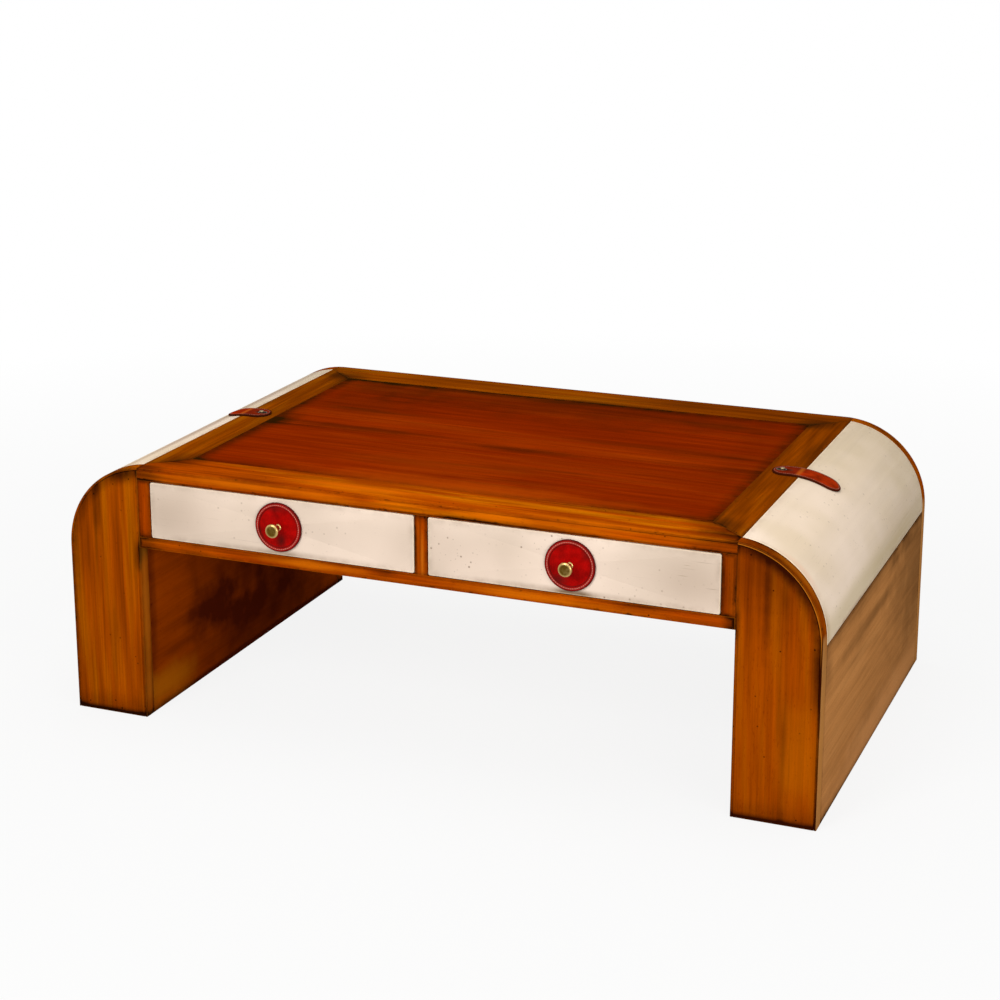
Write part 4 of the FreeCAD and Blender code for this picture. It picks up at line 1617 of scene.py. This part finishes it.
@dataclass
class Leg:
    """Hollow leg of one end: two rounded boards, two panels, a floor, rests and runners."""

    side: Side

    @property
    def face(self) -> StainedWood:
        """Finish of the rounded boards; the right leg's is redder and darker."""
        return Finishes.honey if self.side is Side.LEFT else Finishes.red_honey

    def leg_smudges(self) -> list[Smudge]:
        """Patches on the rounded boards: glazed tops and long streaks, with painted shade, sheen and
        highlight.
        """
        sign = self.side.value
        patches = [
            # Darker along the foot
            Smudge((sign * 540, 0, 0), (200, 4000, 40), 0.35),
            # Painted sheen: the outer edge face, seen at a grazing angle, tinted a pale grey brown
            Smudge((sign * 600, 0, 100), (1.2, 4000, 500), 0.9, tint="#AE7840"),
            # Painted shade on the inner edge face under the apron's end; below it a pale rub, partly
            # painted highlight
            Smudge((sign * 475, -326, 280), (6, 20, 34), 0.9),
            Smudge((sign * 475, -326, 50), (2.5, 16, 70), 0.4, rubbed=True),
            Smudge((sign * 540, 352, 385), (110, 14, 70), 0.6),
        ]
        if self.side is Side.LEFT:
            return patches + [
                Smudge((sign * 550, -320, 345), (12, 400, 75), 0.4),
                Smudge((sign * 500, -320, 395), (40, 400, 22), 0.4),
                Smudge((sign * 530, -320, 120), (12, 400, 90), 0.2),
                Smudge((sign * 479, -337, 268), (10, 20, 46), 0.5),
                # Pale rub over the inner edge face, partly a painted highlight
                Smudge((sign * 475, -326, 190), (2.5, 16, 260), 0.45, rubbed=True),
            ]
        return patches + [
            Smudge((sign * 535, -320, 410), (100, 400, 200), 0.45),
            Smudge((sign * 519, -320, 320), (9, 400, 110), 0.4),
            Smudge((sign * 475, -337, 292), (12, 20, 30), 0.45),
            Smudge((sign * 600, -337, 225), (22, 30, 80), 0.5),
            Smudge((sign * 598, -337, 100), (3.5, 10, 260), 0.5),
            # Painted highlight on the band over the quarter round
            Smudge((sign * 560, -322, 370), (70, 12, 60), 0.3, rubbed=True),
            Smudge((sign * 568, -337, 105), (44, 30, 110), 0.2, tint="#C87204"),
        ]

    def build(self) -> None:
        """Dress the leg's boards."""
        word, sign = self.side.word, self.side.value
        for place in ("front", "back"):
            Board(
                f"{word}_leg_{place}_board",
                self.face,
                Axis.Z,
                Axis.Y,
                "honey_wood",
                Cut.ROUNDED,
                smudges=self.leg_smudges(),
            )
            bare_board(f"{word}_{place}_lid_rest", Axis.Z, Axis.Y)
        # Painted shade: darker under the table top and towards the back; the tint low at the front is
        # a painted orange reflection
        shades = [
            Smudge.on_side(sign * 475, 90, 180, 350, 180, 0.85),
            Smudge.on_side(sign * 475, 80, 40, 350, 120, 0.65),
            Smudge.on_side(sign * 475, -140, 118, 120, 52, 0.75),
            Smudge.on_side(sign * 475, -60, 84, 180, 34, 0.4),
            Smudge.on_side(sign * 475, -230, 82, 110, 12, 0.35),
            Smudge.on_side(sign * 475, -150, 285, 230, 56, 0.85),
            Smudge.on_side(sign * 475, -305, 190, 14, 200, 0.4),
            Smudge.on_side(sign * 475, -270, 30, 120, 46, 0.5, tint="#C8740A"),
        ]
        Board(
            f"{word}_leg_inner_panel",
            Finishes.inner_panel,
            Axis.Y,
            Axis.X,
            "dark_wood",
            smudges=shades,
        )
        # Painted shade: the outer side darker towards the back; dark bands under the lid's edge and a
        # pale rub along the foot
        shades = [
            Smudge.on_side(sign * 600, 350, 190, 330, 230, 0.5),
            Smudge.on_side(sign * 600, -70, 212, 260, 20, 0.3),
            Smudge.on_side(sign * 600, -100, 266, 700, 32, 0.36),
            Smudge.on_side(sign * 600, -300, 225, 40, 50, 0.35),
            Smudge.on_side(sign * 600, 80, 14, 520, 60, 0.45, rubbed=True),
        ]
        Board(
            f"{word}_leg_outer_panel",
            Finishes.outer_panel,
            Axis.Y,
            Axis.X,
            "brown_wood",
            smudges=shades,
        )
        bare_board(f"{word}_leg_floor", Axis.Y, Axis.Z)
        bare_board(f"{word}_outer_runner", Axis.Y, Axis.X)
        bare_board(f"{word}_inner_runner", Axis.Y, Axis.X)


@dataclass
class Drawer:
    """One drawer: painted front, dovetailed box, leather disc, brass knob and its bolt."""

    side: Side
    stitches: StitchRecipe
    red: bpy.types.Material
    thread: bpy.types.Material
    brass: bpy.types.Material
    steel: bpy.types.Material
    disc_steps: int = 120
    knob_steps: int = 72
    # Under this height the knob's neck and foot carry no patina; the bright neck also stands in as a
    # painted highlight
    knob_neck: float = 18.0
    stitch_radius: float = 34.4 * MM
    stitch_height: float = 3.72 * MM
    stitch_steps: int = 180
    disc_profile: Profile = (
        (0, 0),
        (37.4, 0),
        (38.2, 0.5),
        (38.5, 1.5),
        (38.4, 2.7),
        (37.8, 3.4),
        (36.9, 3.72),
        (35.6, 3.8),
        (35.0, 3.72),
        (34.4, 3.66),
        (33.8, 3.72),
        (33.2, 3.78),
        (32.5, 3.7),
        (32.0, 3.35),
        (31.7, 2.75),
        (31.3, 2.4),
        (30.4, 2.38),
        (24, 2.5),
        (14, 2.5),
        (7, 2.42),
        (0, 2.4),
    )
    knob_profile: Profile = (
        (0, 2.4),
        (4.7, 2.4),
        (5.1, 2.7),
        (5.2, 3.2),
        (4.9, 3.8),
        (4.2, 4.2),
        (3.7, 4.9),
        (3.5, 6.4),
        (3.45, 10.0),
        (3.6, 14.0),
        (4.1, 16.4),
        (5.0, 17.7),
        (7.2, 18.2),
        (9.2, 18.6),
        (10.1, 19.2),
        (10.5, 20.2),
        (10.6, 21.4),
        (10.6, 22.9),
        (10.4, 23.8),
        (9.9, 24.6),
        (9.1, 25.1),
        (8.2, 25.35),
        (7.4, 25.3),
        (6.6, 25.1),
        (3.6, 25.05),
        (0, 25.05),
    )

    def build(self) -> None:
        """Dress the box and make the pull."""
        word, body = self.side.word, f"drawer_{self.side.word}"
        name = f"{word}_drawer"
        sign = self.side.value
        shades = [
            Smudge.on_front(sign * 415, 340, 110, 80, 0.3),
            Smudge.on_front(sign * 20, 345, 60, 80, 0.1),
            Smudge.on_front(sign * 232, 303, 210, 9, 0.3),
            Smudge.on_front(sign * 236, 300, 50, 12, 0.3),
        ]
        paint = Finishes.smooth_drawer_paint
        if self.side is Side.RIGHT:
            paint = Finishes.drawer_paint
            shades.append(Smudge.on_front(238, 302, 44, 10, 0.35))
            shades.append(Smudge.on_front(90, 340, 110, 80, 0.12))
            for x, z, reach in ((428, 373, 26), (404, 366, 9), (398, 350, 12), (441, 336, 15)):
                shades.append(Smudge.on_front(x, z, reach, 0.5, 0.6))
        Board(
            f"{name}_front",
            paint,
            Axis.X,
            Axis.Y,
            "cream_paint",
            soften=0.6 * MM,
            smudges=shades,
        )
        for part in ("inner_side", "outer_side"):
            bare_board(f"{name}_{part}", Axis.Y, Axis.X, 0.3 * MM)
        bare_board(f"{name}_back", Axis.X, Axis.Y)
        bare_board(f"{name}_bottom", Axis.X, Axis.Z, 0.2 * MM)
        low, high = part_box(f"{name}_disc")
        centre = Vector(((low[0] + high[0]) / 2, FRONT_Y, (low[2] + high[2]) / 2))
        outward = Vector((0, -1, 0))
        disc = lathe(
            f"{name}_leather_disc", self.disc_profile, centre, outward, self.disc_steps
        )
        disc.data.materials.append(self.red)
        place_piece(disc, body, "red_leather", f"{name}_disc")
        knob = lathe(
            f"{name}_brass_knob",
            self.knob_profile,
            centre,
            outward,
            self.knob_steps,
            self.knob_neck,
        )
        knob.data.materials.append(self.brass)
        place_piece(knob, body, "brass", f"{name}_knob")
        self.stitch_disc(name, body, centre, outward)
        bolt = f"{name}_knob_bolt"
        dress_copy(bolt, f"{name}_steel_bolt", body, self.steel, 0.15 * MM)

    def stitch_disc(self, name: str, body: str, centre: Vector, outward: Vector) -> None:
        """Sew the ring of stitches round the disc.

        Args:
            name: start of the piece's name.
            body: the body the drawer rides on.
            centre: middle of the disc, on the drawer's face.
            outward: direction the disc faces.
        """
        points, facing = [], []
        for step in range(self.stitch_steps):
            angle = math.tau * step / self.stitch_steps
            reach = Vector((math.cos(angle), 0, math.sin(angle))) * self.stitch_radius
            points.append(centre + reach + outward * self.stitch_height)
            facing.append(outward)
        ring = path_object(f"{name}_disc_stitches", points, facing)
        self.stitches.apply(
            ring,
            {"Pitch": 3.5 * MM, "Length": 2.8 * MM, "Thickness": 0.9 * MM, "Material": self.thread},
        )
        place_piece(ring, body, "red_leather")


@dataclass
class Strap:
    """Leather strap fixed to a lid, with a slot that drops over a stud in the table top."""

    side: Side
    stitches: StitchRecipe
    hide: bpy.types.Material
    thread: bpy.types.Material
    metal: bpy.types.Material
    start_x: float = 430 * MM
    lift: float = 0.3 * MM
    length: float = 108.9 * MM
    half_width: float = 22 * MM
    thickness: float = 3 * MM
    slot_start: float = 7 * MM
    slot_end: float = 21 * MM
    slot_half: float = 4.6 * MM
    slot_sink: float = 0.25 * MM
    sway: float = 0.0
    steps: int = 200
    stitch_inset: float = 3.3 * MM
    stitch_height: float = 2.85 * MM
    shares: tuple[float, ...] = (0.12, 0.26, 0.4, 0.54, 0.68, 0.8, 0.9, 0.96, 1.0)
    eyelet_stride: int = 4
    eyelet_profile: Profile = (
        (-0.1, 0.0),
        (-0.5, 2.6),
        (-0.5, 3.2),
        (0.1, 3.45),
        (0.9, 3.4),
        (1.4, 3.05),
        (0.0, 3.0),
    )
    edge_profile: Profile = (
        (1.2, 0.0),
        (0.35, 0.25),
        (0.0, 1.0),
        (0.0, 1.9),
        (0.3, 2.6),
        (0.9, 2.95),
        (1.8, 3.0),
        (2.7, 2.92),
        (3.3, 2.78),
        (3.9, 2.92),
        (4.8, 3.0),
    )

    def bend(self, u: float, v: float, height: float) -> Vector:
        """Carry a point of the flat strap to its place over the top and the lid.

        Args:
            u: distance along the strap from its inner end.
            v: distance across it from its middle.
            height: height over its underside.

        Returns:
            The point in the frame.
        """
        flat = ARC_X - self.start_x
        level = TABLE_TOP + self.lift + height
        radius = ARC_RADIUS + self.lift
        if u <= flat:
            x, z = self.start_x + u, level
        else:
            angle = (u - flat) / radius
            x = ARC_X + (radius + height) * math.sin(angle)
            z = ARC_Z + (radius + height) * math.cos(angle)
        drift = self.sway * max(0.0, u - flat) / (self.length - flat)
        return Vector((self.side.value * x, MID_Y + v + drift, z))

    def facing(self, u: float) -> Vector:
        """Normal of the strap's upper face at a distance along it."""
        flat = ARC_X - self.start_x
        angle = max(0.0, u - flat) / (ARC_RADIUS + self.lift)
        return Vector((self.side.value * math.sin(angle), 0, math.cos(angle)))

    def outline(
        self, start: float, end: float, half: float, inset: float
    ) -> list[tuple[float, float]]:
        """Points round a shape with two half-round ends.

        Args:
            start: where it begins along the strap.
            end: where it ends.
            half: half of its width.
            inset: how far inside it the points lie.

        Returns:
            Evenly spaced points, as distances along and across.
        """
        radius = half - inset
        first, last = start + half, end - half
        straight, bow = last - first, math.pi * radius
        total = 2 * (straight + bow)
        spots = []
        for step in range(self.steps):
            walk = total * step / self.steps
            if walk < straight:
                spots.append((first + walk, -radius))
            elif walk < straight + bow:
                angle = (walk - straight) / radius - math.pi / 2
                spots.append((last + radius * math.cos(angle), radius * math.sin(angle)))
            elif walk < 2 * straight + bow:
                spots.append((last - (walk - straight - bow), radius))
            else:
                angle = (walk - 2 * straight - bow) / radius + math.pi / 2
                spots.append((first + radius * math.cos(angle), radius * math.sin(angle)))
        return spots

    def slot_reach(self, angle: float) -> float:
        """Distance from the slot's middle to its edge in one direction, by halving.

        Args:
            angle: the direction, from the length of the strap.

        Returns:
            The distance.
        """
        middle = (self.slot_end - self.slot_start) / 2 - self.slot_half
        inner, outer = 0.0, self.slot_end - self.slot_start
        for _ in range(30):
            guess = (inner + outer) / 2
            along, side = guess * math.cos(angle), guess * math.sin(angle)
            over = max(0.0, abs(along) - middle)
            if math.hypot(over, side) < self.slot_half:
                inner = guess
            else:
                outer = guess
        return inner

    def build(self) -> None:
        """Make the strap, its stitches and the eyelet round its slot."""
        word, body = self.side.word, f"lid_{self.side.word}"
        strap = self.leather(f"{word}_leather_strap")
        place_piece(strap, body, "red_leather", f"{word}_lid_strap")
        border = self.outline(0.0, self.length, self.half_width, self.stitch_inset)
        points = [self.bend(u, v, self.stitch_height) for u, v in border]
        facing = [self.facing(u) for u, v in border]
        seam = path_object(f"{word}_strap_stitches", points, facing)
        self.stitches.apply(
            seam,
            {"Pitch": 3.4 * MM, "Length": 2.8 * MM, "Thickness": 1.0 * MM, "Material": self.thread},
        )
        place_piece(seam, body, "red_leather")
        eyelet = self.eyelet(f"{word}_strap_eyelet")
        place_piece(eyelet, body, "steel")

    def leather(self, label: str) -> bpy.types.Object:
        """Make the strap's solid: rings that run from its rounded edge in to the slot.

        Args:
            label: name of the piece.

        Returns:
            The piece.
        """
        middle = (self.slot_start + self.slot_end) / 2
        slot = []
        for u, v in self.outline(0.0, self.length, self.half_width, 0.0):
            angle = math.atan2(v, u - middle)
            reach = self.slot_reach(angle)
            slot.append((middle + reach * math.cos(angle), reach * math.sin(angle)))
        rings = []
        reaches = []
        for inset, height in self.edge_profile:
            rim = self.outline(0.0, self.length, self.half_width, inset * MM)
            rings.append([self.bend(u, v, height * MM) for u, v in rim])
            reaches.append(inset * MM)
        for share in self.shares:
            level = self.thickness - (self.slot_sink if share == 1.0 else 0.0)
            ring = []
            for (u, v), (slot_u, slot_v) in zip(rim, slot):
                ring.append(self.bend(u + (slot_u - u) * share, v + (slot_v - v) * share, level))
            rings.append(ring)
            reaches.append(6 * MM if share < 0.9 else (1.0 - share) * 30 * MM)
        rings.append([self.bend(u, v, 0.0) for u, v in slot])
        reaches.append(0.0)
        strap = ring_skin(label, rings, reaches, closed=True)
        strap.data.materials.append(self.hide)
        return strap

    def eyelet(self, label: str) -> bpy.types.Object:
        """Make the thin metal lip round the slot.

        Args:
            label: name of the piece.

        Returns:
            The piece.
        """
        rings = []
        for out, height in self.eyelet_profile:
            start, end = self.slot_start - out * MM, self.slot_end + out * MM
            spots = self.outline(start, end, self.slot_half + out * MM, 0.0)
            rings.append([self.bend(u, v, height * MM) for u, v in spots[:: self.eyelet_stride]])
        eyelet = ring_skin(label, rings, [0.0] * len(rings), closed=True)
        eyelet.data.materials.append(self.metal)
        return eyelet


@dataclass
class Lid:
    """Quarter-round painted lid of one end, with the plates it turns on."""

    side: Side
    strap: Strap
    steel: bpy.types.Material

    def build(self) -> None:
        """Dress the lid, its plates and its strap."""
        word, sign = self.side.word, self.side.value
        # Painted shade low on the lid, where it turns to face sideways, and on the left lid's crown
        # where it curves out of view; a pink tint near the front edge
        darker_areas = [
            Smudge((sign * 560, -306, 370), (60, 16, 60), 0.3, tint="#D8A07C"),
            Smudge((sign * 602, -308, 290), (40, 18, 50), 0.35, tint="#A88458"),
            Smudge((sign * 601, -60, 282), (18, 700, 36), 0.42, tint="#9C8A48"),
            Smudge((sign * 600, -150, 268), (40, 150, 7), 0.3),
            Smudge((sign * 610, 180, 290), (60, 300, 70), 0.2),
        ]
        if self.side is Side.LEFT:
            darker_areas.append(Smudge((-506, 0, 402), (22, 900, 14), 0.6))
        Board(
            f"{word}_lid",
            Finishes.lid_paint,
            Axis.Y,
            Axis.X,
            "lid_paint",
            Cut.CURVED,
            soften=0.6 * MM,
            smudges=darker_areas,
        )
        plates = f"{word}_lid_pivot_plates"
        dress_copy(plates, f"{word}_lid_steel_plates", f"lid_{word}", self.steel, 0.12 * MM)
        self.strap.build()


@dataclass
class Hardware:
    """Studs and plates that stay on the carcase."""

    steel: bpy.types.Material
    dull: bpy.types.Material
    stud_x: float = 446 * MM
    stud_steps: int = 32
    stud_profile: Profile = (
        (0, -8.0),
        (2.2, -8.0),
        (2.2, 3.2),
        (2.5, 3.8),
        (3.2, 4.1),
        (3.55, 4.6),
        (3.6, 5.1),
        (3.3, 5.7),
        (2.6, 6.1),
        (1.5, 6.35),
        (0, 6.4),
    )

    def build(self) -> None:
        """Make the studs and dress the plates on the legs."""
        up = Vector((0, 0, 1))
        for side in Side:
            centre = Vector((side.value * self.stud_x, MID_Y, TABLE_TOP))
            label = f"{side.word}_strap_stud"
            stud = lathe(label, self.stud_profile, centre, up, self.stud_steps)
            stud.data.materials.append(self.dull)
            nodes = ["strap_studs"] if side is Side.LEFT else []
            place_piece(stud, "carcase", "steel", *nodes)
        dress_copy("leg_pivot_plates", "leg_steel_plates", "carcase", self.steel, 0.12 * MM)


@dataclass
class Studio:
    """Camera, floor, world and lamps."""

    camera_place: Point = (1.2232588, -3.0570225, 1.3449293)
    yaw: float = 0.384
    pitch: float = -0.2565
    lens: float = 77.55
    sensor: float = 36.0
    clip: tuple[float, float] = (0.05, 100.0)
    shift_y: float = -0.1
    floor_reach: float = 14.0
    shadow_reach: float = 0.9
    white_reach: float = 2.6
    world_light: float = 0.5
    aim: Point = (0, 0, 0.25)

    def build(self) -> None:
        """Set the whole studio up."""
        self.camera()
        self.floor()
        self.world()
        self.lamp("key", (-0.7, -3.0, 2.2), size=1.2, power=56.5)
        self.lamp("top", (0.1, 0.1, 3.0), size=2.4, power=36.0)
        self.lamp("side", (2.7, -2.1, 0.9), size=1.6, power=36.0)
        bpy.context.scene.view_settings.view_transform = "Standard"

    def camera(self) -> None:
        """Stand the camera where the photograph was taken from."""
        data = bpy.data.cameras.new("camera")
        data.lens = self.lens
        data.sensor_width = self.sensor
        data.shift_y = self.shift_y
        data.clip_start, data.clip_end = self.clip
        camera = bpy.data.objects.new("camera", data)
        camera.location = self.camera_place
        camera.rotation_euler = (math.pi / 2 + self.pitch, 0.0, self.yaw)
        bpy.context.scene.collection.objects.link(camera)
        bpy.context.scene.camera = camera

    def backdrop_rays(self, bench: NodeBench) -> Socket:
        """Choose the rays that see the white backdrop: straight, mirrored or through glass.

        Args:
            bench: a bench on the material's or the world's tree.

        Returns:
            One for such a ray, nought for light that falls on the table.
        """
        rays = bench.add("ShaderNodeLightPath").node.outputs
        seen = bench.add(MATH, rays["Is Camera Ray"], rays["Is Glossy Ray"], operation="MAXIMUM")
        return bench.add(MATH, seen, rays["Is Transmission Ray"], operation="MAXIMUM")

    def floor(self) -> None:
        """Lay a pale floor that keeps a soft shadow and runs out to white."""
        mesh = bpy.data.meshes.new("floor")
        far = self.floor_reach
        corners = [(-far, -far, 0), (far, -far, 0), (far, far, 0), (-far, far, 0)]
        mesh.from_pydata(corners, [], [(0, 1, 2, 3)])
        floor = add_object("floor", mesh)
        material, bench = new_material("pale_floor")
        paint = bench.add("ShaderNodeBsdfDiffuse", linear("#CFCFCD"))
        white = bench.add("ShaderNodeEmission", linear("#FFFFFF"), 1.0)
        place = bench.add("ShaderNodeTexCoord", out="Object")
        away = bench.add(VECTOR, place, out=1, operation="LENGTH")
        share = bench.add(RANGE, away, self.shadow_reach, self.white_reach, 0.87, 1.0)
        share = bench.add(MATH, share, self.backdrop_rays(bench), operation="MULTIPLY")
        mixed = bench.add("ShaderNodeMixShader", share, paint, white)
        bench.add("ShaderNodeOutputMaterial", mixed)
        mesh.materials.append(material)

    def world(self) -> None:
        """Surround the table with an even light and a white view."""
        world = bpy.data.worlds.new("studio")
        world.use_nodes = True
        bpy.context.scene.world = world
        bench = NodeBench(world.node_tree)
        soft = bench.add("ShaderNodeBackground", linear("#FFFFFF"), self.world_light)
        white = bench.add("ShaderNodeBackground", linear("#FFFFFF"), 1.0)
        mixed = bench.add("ShaderNodeMixShader", self.backdrop_rays(bench), soft, white)
        bench.add("ShaderNodeOutputWorld", mixed)

    def lamp(self, label: str, place: Point, size: float, power: float) -> None:
        """Hang a square soft lamp that points at the table.

        Args:
            label: name of the lamp.
            place: where it hangs.
            size: length of its side.
            power: its power in watts.
        """
        data = bpy.data.lights.new(label, "AREA")
        data.size = size
        data.energy = power
        lamp = bpy.data.objects.new(label, data)
        lamp.location = place
        way = Vector(self.aim) - Vector(place)
        lamp.rotation_euler = way.to_track_quat("-Z", "Y").to_euler()
        bpy.context.scene.collection.objects.link(lamp)


def main() -> None:
    """Build the studio and the table, sub-assembly by sub-assembly."""
    logging.basicConfig(level=logging.INFO, format="%(message)s")
    Studio().build()
    stitches = StitchRecipe()
    # Painted shadow that each knob casts on its disc below it, and darker spots higher on the field
    disc_shadows_and_spots = [
        Smudge((-228, -340, 324), (11, 60, 16), 0.75),
        Smudge((-236, -340, 372), (26, 60, 7), 0.45),
        Smudge((216, -340, 322), (18, 60, 12), 0.7),
        Smudge((256, -340, 364), (10, 60, 14), 0.5),
    ]
    disc_hide = Leather(
        "red_disc_leather",
        dye="#B00402",
        deep="#7E0200",
        rim="#4C100C",
        pale="#963A2E",
        rim_width=3.4 * MM,
        pale_centre=4.0 * MM,
        pale_width=1.7 * MM,
        crease_depth=0.8,
    ).material(disc_shadows_and_spots)
    strap_hide = Leather(
        "brown_strap_leather",
        dye="#B03008",
        deep="#7C2006",
        rim="#381408",
        pale="#8C4630",
        rim_width=6.0 * MM,
        pale_centre=3.2 * MM,
        pale_width=1.4 * MM,
        crease_depth=0.45,
        shine=0.0,
        bend_wear=0.45,
    ).material()
    thread = Thread("pink_linen_thread", "#D68E7E", "#AE6054").material()
    brown_thread = Thread("brown_linen_thread", "#A4604A", "#744030").material()
    brass = CastMetal("antique_brass", "#DCBC78", "#5C4412", grit=5.0, mottle=0.22).material()
    steel = CastMetal("worn_steel", "#B9B6AE", "#77726A").material()
    matt = {"low_rough": 0.4, "high_rough": 0.6}
    bronze = CastMetal("blackened_bronze", "#5C5040", "#2C261C", **matt).material()
    TableTop().build()
    Apron().build()
    for side in Side:
        Leg(side).build()
        Drawer(side, stitches, disc_hide, thread, brass, steel).build()
        sway = -2.0 * MM if side is Side.RIGHT else 0.0
        length = 108.9 * MM if side is Side.RIGHT else 76.0 * MM
        strap = Strap(side, stitches, strap_hide, brown_thread, bronze, length=length, sway=sway)
        Lid(side, strap, steel).build()
    dull = CastMetal("dulled_steel", "#9C8A68", "#54462E", **matt).material()
    Hardware(steel, dull).build()


if __name__ == "__main__":
    main()
